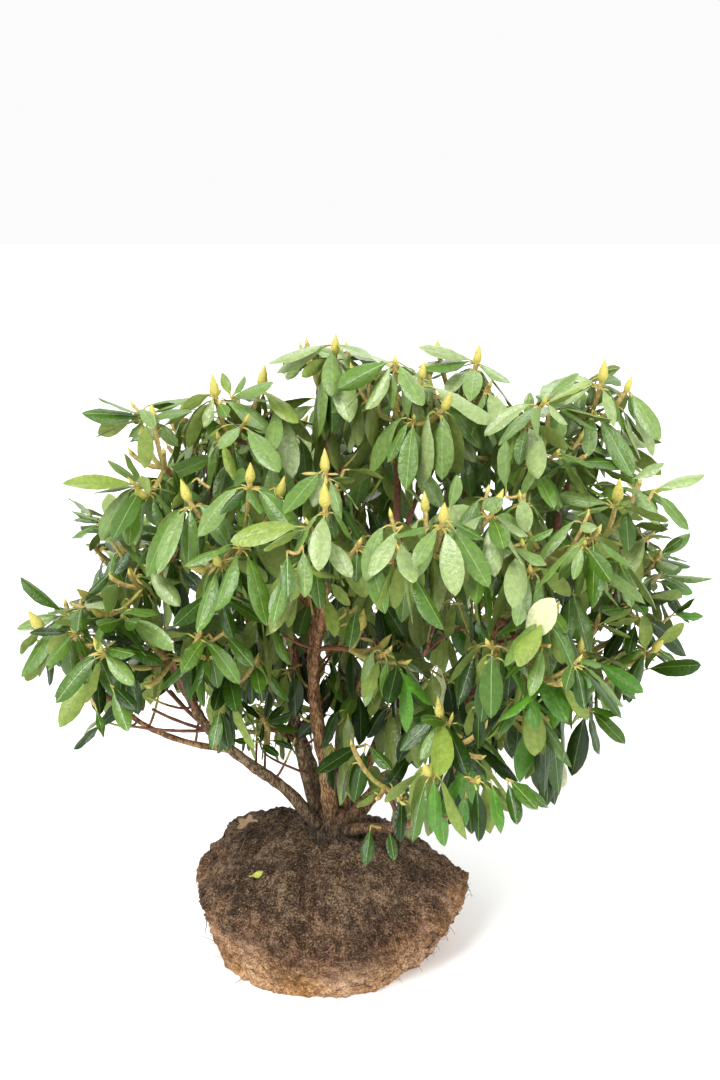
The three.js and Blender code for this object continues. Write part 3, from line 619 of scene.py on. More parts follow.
def height_share(tree, low, high, wobble=0.0, lift=0.0):
    """How far a point has risen from one height to another, in metres, with an uneven edge that
    lifts away from the middle of the x axis."""
    place = node(tree, "ShaderNodeTexCoord")
    split = node(tree, "ShaderNodeSeparateXYZ")
    tree.links.new(place.outputs["Object"], split.inputs["Vector"])
    uneven = node(tree, "ShaderNodeMath", operation="MULTIPLY_ADD")
    tree.links.new(object_noise(tree, 14, 4), uneven.inputs[0])
    uneven.inputs[1].default_value = wobble
    square = node(tree, "ShaderNodeMath", operation="MULTIPLY")
    tree.links.new(split.outputs["X"], square.inputs[0])
    tree.links.new(split.outputs["X"], square.inputs[1])
    height = node(tree, "ShaderNodeMath", operation="MULTIPLY_ADD")
    tree.links.new(square.outputs["Value"], height.inputs[0])
    height.inputs[1].default_value = -lift
    tree.links.new(split.outputs["Z"], height.inputs[2])
    tree.links.new(height.outputs["Value"], uneven.inputs[2])
    return mapped(tree, uneven.outputs["Value"], low + wobble / 2, high + wobble / 2)


def blend_colours(tree, share, low, high):
    blend = node(tree, "ShaderNodeMix", data_type="RGBA")
    tree.links.new(share, blend.inputs["Factor"])
    tree.links.new(low, blend.inputs["A"])
    tree.links.new(high, blend.inputs["B"])
    return blend.outputs["Result"]


def add_bump(tree, shader, height, distance):
    bump = node(tree, "ShaderNodeBump")
    bump.inputs["Distance"].default_value = distance * MM
    tree.links.new(height, bump.inputs["Height"])
    tree.links.new(bump.outputs["Normal"], shader.inputs["Normal"])


def shaded(code, share):
    """A web colour with each part taken to a share of itself."""
    return "".join(f"{min(255, round(int(code[i : i + 2], 16) * share)):02x}" for i in (0, 2, 4))


def from_hex(code):
    """Linear colour from a web colour such as 3c6b35."""
    parts = [int(code[i : i + 2], 16) / 255 for i in (0, 2, 4)]
    return tuple(p / 12.92 if p <= 0.04045 else ((p + 0.055) / 1.055) ** 2.4 for p in parts)


def leaf_material(name, code, roughness=0.31, grain=1.6, gloss=0.62):
    """A mottled leaf colour with a leathery grain and a waxy sheen."""
    material, tree, shader = new_material(name)
    stops = [(0.38, shaded(code, 0.93)), (0.62, shaded(code, 1.05))]
    colour = colour_ramp(tree, object_noise(tree, 130, 4), stops)
    finish_shader(tree, shader, colour, roughness, gloss)
    add_bump(tree, shader, object_noise(tree, 180, 5), grain)
    return material


# The tops of the leaves: colour and gloss, the first six from the darkest to the palest.
# Besides the leaves' own greens, these six hold painted light: the palest carry a painted sheen
# of leaves lit from above, and the darkest painted shade of leaves low inside the crown.
LEAF_TOPS = {
    "leaf_dark": ("1d3506", 0.36),
    "leaf_deep": ("2d4c0b", 0.42),
    "leaf_mid": ("416413", 0.5),
    "leaf_green": ("53761f", 0.6),
    "leaf_light": ("6c893f", 0.68),
    "leaf_pale": ("879c5c", 0.78),
    "leaf_bright": ("4a7f1d", 0.55),
    "leaf_fresh": ("80953a", 0.6),
    "leaf_old": ("667632", 0.5),
}
TOP_NAMES = list(LEAF_TOPS)
PALEST = TOP_NAMES.index("leaf_pale")
UNDER, PALE_UNDER, RIB, STALK = (len(TOP_NAMES) + i for i in range(4))


def leaf_materials():
    tops = [leaf_material(name, code, gloss=gloss) for name, (code, gloss) in LEAF_TOPS.items()]
    return tops + [
        leaf_material("leaf_underside", "7b8d42", 0.7, 0.5, 0.3),
        leaf_material("leaf_pale_underside", "d3d8a6", 0.7, 0.5, 0.3),
        leaf_material("leaf_midrib", "738a42", 0.5, 0.1, 0.5),
        leaf_material("leaf_stalk", "b3a552", 0.5, 0.1, 0.5),
    ]


def twig_material(name, light, dark, grain):
    material, tree, shader = new_material(name)
    colour = colour_ramp(tree, object_noise(tree, 180, 4), [(0.36, dark), (0.64, light)])
    finish_shader(tree, shader, colour, roughness=0.6)
    add_bump(tree, shader, object_noise(tree, 420, 3), grain)
    return material


# ---- Joined meshes ---------------------------------------------------------------------------

SHARP_EDGE = math.radians(50)  # edges that bend more than this aren't smoothed


class Pile:
    """Vertices and faces of many things of one kind, joined into one piece."""

    def __init__(self):
        self.points = []
        self.corners = []
        self.sizes = []
        self.slots = []
        self.count = 0

    def add(self, points, faces, slots):
        """`faces` holds arrays of one corner count each, and `slots` a material for each face."""
        self.points.append(points)
        for block, block_slots in zip(faces, slots):
            self.corners.append((block + self.count).ravel())
            self.sizes.append(np.full(len(block), block.shape[1]))
            self.slots.append(np.broadcast_to(block_slots, len(block)))
        self.count += len(points)

    def add_tube(self, points, rings, sides, slots, ends=None):
        """A closed tube. `slots` is a material, or one for each side face with `ends` for the caps."""
        faces = [ring_faces(rings, sides), end_caps(rings, sides)]
        self.add(points, faces, [slots, slots if ends is None else ends])

    def make(self, name, materials, slot):
        """The piece with all of it, on the root body. The `slot` argument is not used."""
        mesh = bpy.data.meshes.new(name)
        points = np.concatenate(self.points) * MM
        corners = np.concatenate(self.corners)
        sizes = np.concatenate(self.sizes)
        mesh.vertices.add(len(points))
        mesh.vertices.foreach_set("co", points.astype(np.float32).ravel())
        mesh.loops.add(len(corners))
        mesh.loops.foreach_set("vertex_index", corners.astype(np.int32))
        mesh.polygons.add(len(sizes))
        starts = np.concatenate([[0], np.cumsum(sizes)[:-1]])
        mesh.polygons.foreach_set("loop_start", starts.astype(np.int32))
        for made in materials:
            mesh.materials.append(made)
        mesh.polygons.foreach_set("material_index", np.concatenate(self.slots).astype(np.int32))
        mesh.update(calc_edges=True)
        mesh.validate()
        mesh.shade_smooth()
        mesh.set_sharp_from_angle(angle=SHARP_EDGE)
        piece = bpy.data.objects.new(name, mesh)
        bpy.context.scene.collection.objects.link(piece)
        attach(piece, "root")
        return piece


def ring_corners(rings, sides):
    """Corners of the quads between rings of points, all the way round."""
    ring, side = np.meshgrid(np.arange(rings - 1), np.arange(sides), indexing="ij")
    here = ring * sides + side
    beside = ring * sides + (side + 1) % sides
    return here, beside, beside + sides, here + sides


def ring_faces(rings, sides):
    return np.stack(ring_corners(rings, sides), -1).reshape(-1, 4)


def end_caps(rings, sides):
    """The two faces that close a tube."""
    first = np.arange(sides)[::-1]
    last = np.arange(sides) + (rings - 1) * sides
    return np.stack([first, last])


def tube_points(centres, tangents, radii, sides, relief=None):
    """Rings of points round a centre line. `relief` gives each point's extra radius."""
    steady = np.eye(3)[np.argmin(np.abs(centres[-1] - centres[0]))]
    first = square_to(tangents, steady)
    second = np.cross(tangents, first)
    turn = np.arange(sides) * 2 * math.pi / sides
    around = first[:, None] * np.cos(turn)[:, None] + second[:, None] * np.sin(turn)[:, None]
    reach = np.broadcast_to(radii, len(centres))[:, None, None]
    points = centres[:, None] + around * reach
    if relief is not None:
        points += around * relief(points)[..., None]
    return points.reshape(-1, 3)


class Curve:
    """A curve that is read by the share of its length."""

    def __init__(self, points):
        self.points = np.asarray(points, float)
        steps = np.linalg.norm(np.diff(self.points, axis=0), axis=1)
        run = np.concatenate([[0], np.cumsum(steps)])
        self.length = run[-1]
        self.shares = run / self.length

    def at(self, share):
        return np.stack([np.interp(share, self.shares, self.points[:, i]) for i in range(3)], -1)

    def part(self, end):
        """The curve up to a share of its length."""
        return Curve(self.at(np.linspace(0, end, len(self.points))))

    def tangent(self, share):
        ahead = np.minimum(np.asarray(share) + 0.004, 1)
        behind = np.maximum(np.asarray(share) - 0.004, 0)
        run = self.at(ahead) - self.at(behind)
        return run / np.linalg.norm(run, axis=-1, keepdims=True)


def bend(foot, knee, tip):
    """A quadratic curve."""
    share = np.linspace(0, 1, 61)[:, None]
    return Curve((1 - share) ** 2 * foot + 2 * share * (1 - share) * knee + share**2 * tip)


def flowing(points):
    """A smooth curve through points, as the solids' limbs follow."""
    points = np.asarray(points, float)
    ends = [2 * points[0] - points[1], 2 * points[-1] - points[-2]]
    padded = np.concatenate([[ends[0]], points, [ends[1]]])
    share = np.linspace(0, 1, 40, endpoint=False)[:, None]
    parts = []
    for before, here, there, after in zip(padded, padded[1:], padded[2:], padded[3:]):
        leaving = (there - before) / 2
        arriving = (after - here) / 2
        square = share**2
        cube = share**3
        parts.append(
            here
            + share * leaving
            + square * (3 * (there - here) - 2 * leaving - arriving)
            + cube * (2 * (here - there) + leaving + arriving)
        )
    return Curve(np.concatenate(parts + [points[-1:]]))


# ---- The growth rule -------------------------------------------------------------------------


def ball_outline(turn):
    """Outline of the root ball in a direction round its middle: rim, rim height and base."""
    lumps = 6 * np.sin(3 * turn + 0.8) + 4 * np.sin(5 * turn + 2.1) + 2.5 * np.sin(9 * turn)
    rim = 234 - 6 * np.cos(turn) + 8 * np.cos(2 * turn) + lumps
    slump = 18 * np.clip(-np.cos(turn), 0, 1) ** 4
    rim_height = 112 - 26 * np.cos(turn) + 12 * np.sin(turn) + 0.8 * lumps - slump
    base = 196 - 13 * np.cos(turn) - 8 * np.sin(turn) + 0.7 * lumps
    return rim, rim_height, base


def soil_height(x, y):
    rim, rim_height, _ = ball_outline(np.arctan2(y, x))
    share = (np.hypot(x, y) - BALL["seat_radius"]) / (rim - BALL["seat_radius"])
    height = mix(BALL["top_height"], rim_height, np.clip(share, 0, 1) ** BALL["fall"])
    return np.where(share > 1, 0, height)


def grow_limbs():
    limbs = {}
    for name, start, at, radii, path in LIMBS:
        points = [vec(*p) for p in path]
        if at:
            parent = limbs[start]["curve"]
            if at == 1:
                points.insert(0, parent.at(1) + LEAD * parent.tangent(1))
            points.insert(0, parent.at(at))
        limbs[name] = {"curve": flowing(points), "radii": radii}
    return limbs


def place_mass(limbs, entry, seed):
    name, start, at, shoots, centre, reach, leaf = entry
    limb = limbs[start]
    centre = vec(*centre)
    reach = vec(*reach)
    foot = limb["curve"].at(at)
    hub = centre + unit(foot - centre) * reach * HUB_SHARE
    run = hub - foot
    lead = limb["curve"].tangent(at)
    if at != 1:
        lead = unit(STEM["along"] * lead + unit(run))
    knee = foot + lead * np.linalg.norm(run) * STEM["pull"]
    radius = limb["radii"][1] if at == 1 else STEM["foot_radius"]
    return {
        "name": name, "seed": seed, "shoots": shoots, "centre": centre, "reach": reach, "leaf": leaf,
        "hub": hub, "stem": bend(foot, knee, hub), "radius": radius,
    }


def tips_of(mass):
    """Where a mass's shoots end, spread over its outer side."""
    draw = draws_from(mass["seed"])
    outward = unit(unit(mass["centre"] - CROWN_HEART) + SPREAD["rise"] * UP)
    axis = np.cross(UP, outward)
    angle = math.acos(outward[2])
    phase = draw() * 2 * math.pi
    for k in range(mass["shoots"]):
        rank = (k + mix(0.35, 0.65, draw())) / mass["shoots"]
        level = mix(1, math.cos(SPREAD["cone"]), rank)
        turn = phase + k * GOLDEN_TURN + SPREAD["uneven"] * (draw() - 0.5)
        flat = math.sqrt(1 - level * level)
        way = vec(flat * math.cos(turn), flat * math.sin(turn), level)
        way = turned(way, unit(axis), angle) * mass["reach"]
        yield mass["centre"] + way * mix(SPREAD["nearest"], SPREAD["farthest"], draw())


def shoot_to(hub, tip):
    middle = mix(hub, tip, SHOOT["elbow"])
    middle[2] -= SHOOT["dip"] * np.linalg.norm(tip - hub)
    return bend(hub, middle, tip)


class Space:
    """Who holds which part of the crown: the reach of its masses, wood, and leaves already grown."""

    def __init__(self, masses):
        self.centres = np.array([m["centre"] for m in masses])
        self.middles = np.concatenate([self.centres, [middle for middle, _ in LIMB_LEAVES]])
        reaches = [m["reach"] + LEAF["reach"] * m["leaf"] for m in masses]
        self.limits = np.array(reaches + [reach for _, reach in LIMB_LEAVES])
        self.weights = np.array([m["reach"] @ m["reach"] / 3 for m in masses])
        least, most = (np.array(corner) / MM for corner in cad_box)
        self.least = least - PAST_BOX
        self.most = most + PAST_BOX
        self.low = np.array(GRID["low"], float)
        self.shape = (np.array(GRID["size"]) / CELL).astype(int)
        self.leaves = np.zeros(self.shape, bool)
        self.wood = np.zeros(self.shape, bool)
        self.front = np.zeros((PICTURE["height"] // PATCH + 1, PICTURE["width"] // PATCH + 1))

    def cells(self, points):
        found = np.floor((points - self.low) / CELL).astype(int)
        return tuple(np.clip(found, 1, self.shape - 2).T)

    def mark_wood(self, curve, first, last):
        share = np.linspace(0, 1, int(curve.length / LIMB["ring_step"]) + 2)
        centres = curve.at(share)
        for way in itertools.product((-1, 0, 1), repeat=3):
            offset = np.array(way) * (mix(first, last, share)[:, None])
            self.wood[self.cells(centres + offset)] = True

    def mark_leaf(self, points):
        x, y, z = self.cells(points)
        for step in ((0, 0, 0), (1, 0, 0), (-1, 0, 0), (0, 1, 0), (0, -1, 0), (0, 0, 1), (0, 0, -1)):
            self.leaves[x + step[0], y + step[1], z + step[2]] = True

    def is_free(self, points):
        cells = self.cells(points)
        return not (self.leaves[cells].any() or self.wood[cells].any())

    def room(self, index, points):
        """Least distance from points to the boundary between a mass's cell and the others'."""
        powers = ((points[:, None] - self.centres) ** 2).sum(-1) - self.weights
        apart = np.linalg.norm(self.centres - self.centres[index], axis=1)
        apart[index] = np.inf
        spare = (powers - powers[:, index : index + 1]) / (2 * apart)
        spare[:, index] = np.inf
        return spare.min()

    def reaches(self, points):
        """Whether points lie in the crown's reach and off the soil."""
        far = (((points[:, None] - self.middles) / self.limits) ** 2).sum(-1).min(1)
        low = points[:, 2] < soil_height(points[:, 0], points[:, 1]) + CLEARANCE
        past = (points < self.least) | (points > self.most)
        return far.max() <= 1 and not low.any() and not past.any()

    def patches(self, columns, rows):
        """Where pixels lie in the grid of patches that keeps leaves in view."""
        down = np.clip(rows // PATCH, 0, self.front.shape[0] - 1).astype(int)
        return down, np.clip(columns // PATCH, 0, self.front.shape[1] - 1).astype(int)

    def keep_in_view(self, points):
        """Keeps later leaves from growing in front of a leaf that the photograph shows."""
        columns, rows, depths = to_picture(points)
        patches = self.patches(columns, rows)
        held = self.front[patches]
        self.front[patches] = np.where(held > 0, np.minimum(held, depths), depths)

    def hides(self, points):
        """Share of the points that stand before a leaf which the photograph shows."""
        columns, rows, depths = to_picture(points)
        return (depths < self.front[self.patches(columns, rows)]).mean()

    def holds(self, points, hidden=HIDDEN["by_others"]):
        """Whether points lie in the crown and its outline, beside the stems and the leaves in view."""
        if not self.reaches(points):
            return False
        columns, rows, depths = to_picture(points)
        if not in_outline(CROWN_OUTLINE, columns, rows).all():
            return False
        hides_stem = in_outline(STEM_WINDOW, columns, rows) & (depths < STEM_DEPTH)
        return not hides_stem.any() and self.hides(points) <= hidden


def main_shoots(space, masses):
    """The shoots that the solids' rule keeps, as their feet and tips."""
    kept = []
    for index, mass in enumerate(masses):
        for tip in tips_of(mass):
            line = shoot_to(mass["hub"], tip).at(np.linspace(0, 1, 13))
            if space.room(index, line) > SHOOT_ROOM:
                kept.append({"mass": mass, "foot": mass["hub"], "tip": tip, "seen": False})
    return kept


def steer(shoots):
    """Moves the shoots nearest to the buds that the photograph shows onto them, at their own depth."""
    columns, rows, depths = to_picture(np.array([shoot["tip"] for shoot in shoots]))
    seen = np.array(SEEN_BUDS)
    apart = np.hypot(columns - seen[:, :1], rows - SHOOT["neck"] / 2 - seen[:, 1:])
    apart += BEHIND_COST * (depths - depths.min())
    for _ in seen:
        bud, chosen = np.unravel_index(np.argmin(apart), apart.shape)
        if apart[bud, chosen] > STEER_REACH:
            break
        column, row = seen[bud]
        shoots[chosen]["tip"] = from_picture(column, row + SHOOT["neck"] / 2, depths[chosen])
        shoots[chosen]["seen"] = True
        apart[bud] = np.inf
        apart[:, chosen] = np.inf


def settle(space, shoot):
    """A shoot's curve, shortened until its tip is inside the crown."""
    for share in SETTLE_SHARES:
        tip = mix(shoot["foot"], shoot["tip"], share)
        if space.holds(tip[None]):
            return shoot_to(shoot["foot"], tip)
    return None


def side_shoots(space, shoot, rng):
    """Finer shoots that leave a shoot below its whorl."""
    curve = shoot["curve"]
    for _ in range(rng.integers(2, 4)):
        share = rng.uniform(SIDE_SHOOT["first"], SIDE_SHOOT["last"])
        foot = curve.at(share)
        along = curve.tangent(share)
        out = square_to(along, rng.normal(size=3))[0]
        way = unit(along + out * rng.uniform(0.9, 1.5) + SIDE_SHOOT["upturn"] * UP)
        length = curve.length * rng.uniform(SIDE_SHOOT["shortest"], SIDE_SHOOT["longest"])
        tip = foot + way * length
        if space.holds(tip[None]):
            knee = foot + unit(along + out) * length * SIDE_SHOOT["knee"]
            side = bend(foot, knee, tip)
            yield {"mass": shoot["mass"], "curve": side, "seen": False}


# ---- Leaves ----------------------------------------------------------------------------------

# Ways to hang a leaf, tried in turn: swing to the side, extra fall and share of its size.
LEAF_TRIES = [
    (0, 0, 1), (0.25, 0.12, 1), (-0.25, 0.12, 1), (0, 0.32, 1), (0.3, 0.45, 0.95), (-0.3, 0.45, 0.95),
    (0, -0.3, 0.92), (0, 0.7, 0.9), (0.4, -0.3, 0.85), (-0.4, -0.3, 0.85), (0, 0.3, 0.75),
    (0.3, 0.8, 0.8), (-0.3, 0.5, 0.7),
]
END_WEIGHT = 1.2  # how much more a leaf's far end counts for its way than its foot does
RIM = 8  # lines along a leaf, of which six are on its top
TOP_STRIPS = 5


def blade_columns(half):
    """Where the lines along a blade lie across it: six on top and two under, for each ring."""
    rib = np.clip(RIB_HALF / half, 0.03, 0.4)[:, None]
    edge, inner = np.ones_like(rib), np.full_like(rib, 0.55)
    return np.concatenate([-edge, -inner, -rib, rib, inner, edge, 1.5 * rib, -1.5 * rib], 1)


def leaf_frame(leaf, shares):
    """Centre line of a leaf that bends from one direction to another, and its side and face."""
    fine = np.linspace(0, 1, 25)
    bent = 1 - (1 - fine) ** 5
    ways = leaf["start"] + (leaf["end"] - leaf["start"]) * bent[:, None]
    ways[:, 2] -= leaf["sag"] * fine**2
    ways /= np.linalg.norm(ways, axis=1)[:, None]
    steps = (ways[1:] + ways[:-1]) / 2 * leaf["length"] / 24
    line = leaf["root"] + np.concatenate([np.zeros((1, 3)), np.cumsum(steps, 0)])
    centre = np.stack([np.interp(shares, fine, line[:, i]) for i in range(3)], -1)
    way = np.stack([np.interp(shares, fine, ways[:, i]) for i in range(3)], -1)
    way /= np.linalg.norm(way, axis=1)[:, None]
    face = square_to(way, leaf["upper"])
    face = turned(face, way, leaf["roll"] + leaf["twist"] * shares)
    return centre, np.cross(way, face), face


def blade_half(leaf, shares):
    blade = np.clip((shares - LEAF["petiole"]) / (1 - LEAF["petiole"]), 0, 1)
    return np.interp(blade, BLADE_ALONG, BLADE_WIDTH) * leaf["width"] / 2, blade


def blade_surface(leaf, shares, across):
    """Points of a leaf's middle surface at shares of its length and of its half width."""
    centre, side, face = leaf_frame(leaf, shares)
    half, blade = blade_half(leaf, shares)
    lift = half[:, None] * (leaf["fold"] * np.abs(across) - leaf["bow"] * across**2)
    ripple = np.sin(leaf["ripples"] * blade + leaf["phase"])[:, None]
    lift += leaf["wave"] * ripple * across**2 * np.sign(across)
    spread = half[:, None] * across
    points = centre[:, None] + side[:, None] * spread[..., None] + face[:, None] * lift[..., None]
    return points, side, face, half


BLADE_SHARES = LEAF["petiole"] + (1 - LEAF["petiole"]) * np.array(BLADE_ALONG)
LEAF_SHARES = np.concatenate([[0, 0.08], BLADE_SHARES])
TEST_SHARES = np.linspace(0.26, 0.98, 9)
SEEN_SHARES = np.linspace(0.36, 0.98, 8)
TEST_ACROSS = np.array([-0.85, -0.45, 0, 0.45, 0.85])


def leaf_mesh(leaf):
    """Rings of points round a leaf: six over its top and two under it."""
    half, _ = blade_half(leaf, LEAF_SHARES)
    points, side, face, half = blade_surface(leaf, LEAF_SHARES, blade_columns(half))
    thick = LEAF["thickness"] * leaf["size"]
    drop = np.zeros((len(LEAF_SHARES), RIM))
    drop[:, 2:4] = RIB_SUNK
    drop[:, 6:8] = RIB_KEEL
    points = points - face[:, None] * (drop * thick * np.minimum(1, half / 3)[:, None])[..., None]
    stalk = LEAF_SHARES <= LEAF["petiole"]
    turn = np.linspace(math.pi, -math.pi, RIM, endpoint=False) + 0.3
    radius = STALK_RADIUS * leaf["size"] ** 0.5
    centre = (points[:, 2] + points[:, 3]) / 2
    round_points = (
        centre[:, None]
        + side[:, None] * (np.cos(turn) * radius)[:, None]
        + face[:, None] * (np.sin(turn) * radius)[:, None]
    )
    points[stalk] = round_points[stalk]
    return points.reshape(-1, 3)


def leaf_triangles():
    """Triangles between the rings, split the same way above and below so that no fold pokes through."""
    here, beside, opposite, ahead = ring_corners(len(LEAF_SHARES), RIM)
    over = np.stack([here, beside, opposite, here, opposite, ahead], -1)
    under = np.stack([here, beside, ahead, beside, opposite, ahead], -1)
    faces = np.concatenate([over[:, :TOP_STRIPS], under[:, TOP_STRIPS:]], 1)
    return faces.reshape(-1, 3)


def leaf_slots(shade, under):
    """A material for each triangle, ring by ring."""
    rib = min(shade + 3, PALEST) if shade <= PALEST else RIB
    row = [shade, shade, rib, shade, shade, under, under, under]
    rows = [[STALK] * RIM] * 2 + [row] * (len(LEAF_SHARES) - 3)
    return np.repeat(np.array(rows).ravel(), 2)


LEAF_FACES = leaf_triangles()
LEAF_CAPS = end_caps(len(LEAF_SHARES), RIM)


def hang_at(place):
    """How far below level leaves hang, in radians: less high up and at the far sides."""
    high = smooth((place[2] - HANG["from"]) / (HANG["to"] - HANG["from"]))
    outer = smooth((abs(place[0] - CROWN_HEART[0]) - HANG["side"]) / HANG["side_run"])
    return mix(HANG["low"], HANG["high"], high) - HANG["outer"] * outer


def leaf_shape(rng, size, slim):
    """What makes one leaf differ from the next."""
    length = LEAF["length"] * size * np.clip(1 + 0.17 * rng.normal(), 0.62, 1.4)
    return {
        "length": length,
        "width": LEAF["width"] * slim * rng.uniform(0.86, 1.12) * (length / LEAF["length"]) ** 0.8,
        "size": size,
        "roll": rng.normal(0, 0.5),
        "twist": rng.normal(0, 0.5),
        "fold": rng.uniform(0.15, 0.6),
        "bow": rng.uniform(0.3, 0.9),
        "wave": rng.uniform(0.4, 1.8),
        "ripples": rng.uniform(8, 17),
        "phase": rng.uniform(0, 6),
        "sag": rng.uniform(0, 0.5),
    }


def try_leaf(space, whorl, turn, rng, shape):
    """A leaf hung in the first way that has room, or nothing."""
    uneven = rng.normal(0, HANG["each"])
    for swing, sag, share in LEAF_TRIES:
        out = turned(whorl["first"], whorl["axis"], turn + swing)
        fall = np.clip(whorl["hang"] + sag + uneven, HANG["flattest"], HANG["steepest"])
        level = unit(out * vec(1, 1, 0.3) + 1e-6)
        leaf = dict(
            shape,
            root=whorl["root"] + out * 2,
            start=unit(out + 0.7 * whorl["axis"]),
            end=unit(level * math.cos(fall) - UP * math.sin(fall)) * END_WEIGHT,
            upper=out + LEAF["face_up"] * UP,
            length=shape["length"] * share,
            width=shape["width"] * share,
        )
        test = blade_surface(leaf, TEST_SHARES, TEST_ACROSS)[0].reshape(-1, 3)
        if space.holds(test, whorl["hidden"]) and space.is_free(test):
            space.mark_leaf(test)
            return leaf
    return None


def whorl_at(curve, share, rng, hang=None, hidden=HIDDEN["by_others"]):
    """A place where leaves leave a shoot all round."""
    run = np.cross(curve.at(1) - curve.at(0), UP)
    first = unit(run) if run @ run > 1 else vec(1, 0, 0)
    axis = unit(curve.tangent(share) + WHORL_UPTURN * UP)
    root = curve.at(share)
    if hang is None:
        hang = hang_at(root) + rng.normal(0, HANG["uneven"])
    return {
        "root": root, "axis": axis, "first": square_to(axis, first)[0], "hang": hang,
        "phase": rng.uniform(0, 2 * math.pi), "hidden": hidden,
    }


# Shares of the leaves with a colour of their own, and where the bright ones are.
SHADE_SHARES = {"old": 0.38, "fresh": 0.05, "bright": 0.35}
BRIGHT_PART = {"from_x": 100, "below_z": 660}
# How the other leaves' colours rise with height, from LEAF_TOPS' first: painted light and shade,
# paler high up where light falls from above, and darker low down where shade falls.
PAINTED_LIGHT_RISE = {"lowest": 0.35, "rise": 4, "from": 350, "run": 700, "uneven": 1.1}


def shade_for(rng, place, age):
    """The top colour of a leaf: paler high up as painted light, darker low down as painted shade,
    brighter low on the right, yellower when old, and a step darker when old.
    """
    draw = rng.random()
    if age == "old" and draw < SHADE_SHARES["old"]:
        return TOP_NAMES.index("leaf_old")
    if draw < SHADE_SHARES["fresh"]:
        return TOP_NAMES.index("leaf_fresh")
    in_bright = place[0] > BRIGHT_PART["from_x"] and place[2] < BRIGHT_PART["below_z"]
    if draw < SHADE_SHARES["bright"] and in_bright:
        return TOP_NAMES.index("leaf_bright")
    # Painted light and shade: the higher a leaf grows the paler its colour, the lower the darker.
    high = smooth((place[2] - PAINTED_LIGHT_RISE["from"]) / PAINTED_LIGHT_RISE["run"])
    level = PAINTED_LIGHT_RISE["lowest"] + PAINTED_LIGHT_RISE["rise"] * high + rng.normal(0, PAINTED_LIGHT_RISE["uneven"])
    # Last year's leaves a step darker: partly their own older colour, partly painted shade, as they
    # hang inside the crown.
    if age == "old":
        level -= 1
    return int(np.clip(round(level), 0, PALEST))


def add_leaf(pile, leaf, shade, under):
    pile.add(leaf_mesh(leaf), [LEAF_FACES, LEAF_CAPS], [leaf_slots(shade, under), [STALK, under]])


def grow_whorl(space, whorl, count, rng, pile, size=1.0, slim=1.0, age="young", fewest=1):
    """Leaves all round a shoot, or none when too few find room. Returns whether they grew."""
    before = space.leaves.copy()
    leaves = []
    for k in range(count):
        turn = whorl["phase"] + (k + rng.uniform(-0.25, 0.25)) * 2 * math.pi / count
        leaf = try_leaf(space, whorl, turn, rng, leaf_shape(rng, size, slim))
        if leaf:
            leaves.append(leaf)
    if len(leaves) < fewest:
        space.leaves = before
        return False
    for leaf in leaves:
        under = PALE_UNDER if rng.random() < PALE_SHARE else UNDER
        add_leaf(pile, leaf, shade_for(rng, leaf["root"], age), under)
    return True


def aimed_leaf(space, root, tip_pixel, upper, width, leans, rng):
    """A leaf whose tip shows at a pixel, leaning in the first way that has room, or nothing."""
    depth = to_picture(root)[2]
    shape = leaf_shape(rng, 1, 1)
    span = np.linalg.norm(from_picture(*tip_pixel, depth) - root)
    for lean in leans:
        run = from_picture(*tip_pixel, depth + lean * span) - root
        length = SEEN_LEAF["spare"] * np.linalg.norm(run)
        length = np.clip(length, SEEN_LEAF["shortest"], SEEN_LEAF["longest"])
        way = unit(run)
        leaf = dict(
            shape,
            root=root,
            start=unit(way + SEEN_LEAF["lift"] * UP),
            end=END_WEIGHT * way,
            upper=upper,
            length=length,
            width=width * (length / LEAF["length"]) ** 0.8,
            roll=shape["roll"] / 2,
            twist=shape["twist"] / 2,
            sag=shape["sag"] / 4,
        )
        test = blade_surface(leaf, SEEN_SHARES, TEST_ACROSS)[0].reshape(-1, 3)
        if space.reaches(test) and space.is_free(test) and space.hides(test) <= HIDDEN["by_seen"]:
            space.mark_leaf(test)
            space.keep_in_view(test)
            return leaf
    return None


def grow_spray(space, foot, root, tips, kind, piles, rng):
    """Leaves with their tips at pixels, on a twig from the wood at `foot` unless that is near."""
    under, upper, width = kind
    needs_twig = np.linalg.norm(root - foot) > SEEN_LEAF["least_twig"]
    if not needs_twig:
        root = foot
    leaves = [
        aimed_leaf(space, root, tip, upper, width, np.roll(LEANS, -rank), rng)
        for rank, tip in enumerate(tips)
    ]
    leaves = [leaf for leaf in leaves if leaf]
    for leaf in leaves:
        add_leaf(piles[group_at(root)], leaf, shade_for(rng, root, "young"), under)
    if leaves and needs_twig:
        twig = bend(foot, mix(foot, root, 0.5) - UP * SEEN_LEAF["twig_dip"], root)
        add_twig(piles["twigs"], twig, SEEN_LEAF["twig_foot"], SEEN_LEAF["twig_tip"])


def grow_seen_leaves(space, curves, piles, rng):
    """Leaves at their places in the photograph, from the nearest wood behind them."""
    wood = np.concatenate([curve.at(np.linspace(0.3, 1, 30)) for curve in curves])
    columns, rows, depths = to_picture(wood)
    pale = (PALE_UNDER, FORWARD, SEEN_LEAF["pale_width"])
    underside = (UNDER, FORWARD + 0.5 * UP, SEEN_LEAF["width"])
    upright = (UNDER, UP - vec(0, 0.4, 0), SEEN_LEAF["width"])
    kinds = [
        (PALEST_LEAVES, pale, PALE_BEHIND_COST),
        (SEEN_UNDERSIDES, underside, BEHIND_COST),
        (SEEN_LEAVES, upright, BEHIND_COST),
    ]
    for sprays, kind, behind_cost in kinds:
        for (column, row), tips in sprays:
            apart = np.hypot(columns - column, rows - row) + behind_cost * (depths - depths.min())
            nearest = np.argmin(apart)
            root = from_picture(column, row, depths[nearest])
            grow_spray(space, wood[nearest], root, tips, kind, piles, rng)


# ---- Buds and twigs --------------------------------------------------------------------------

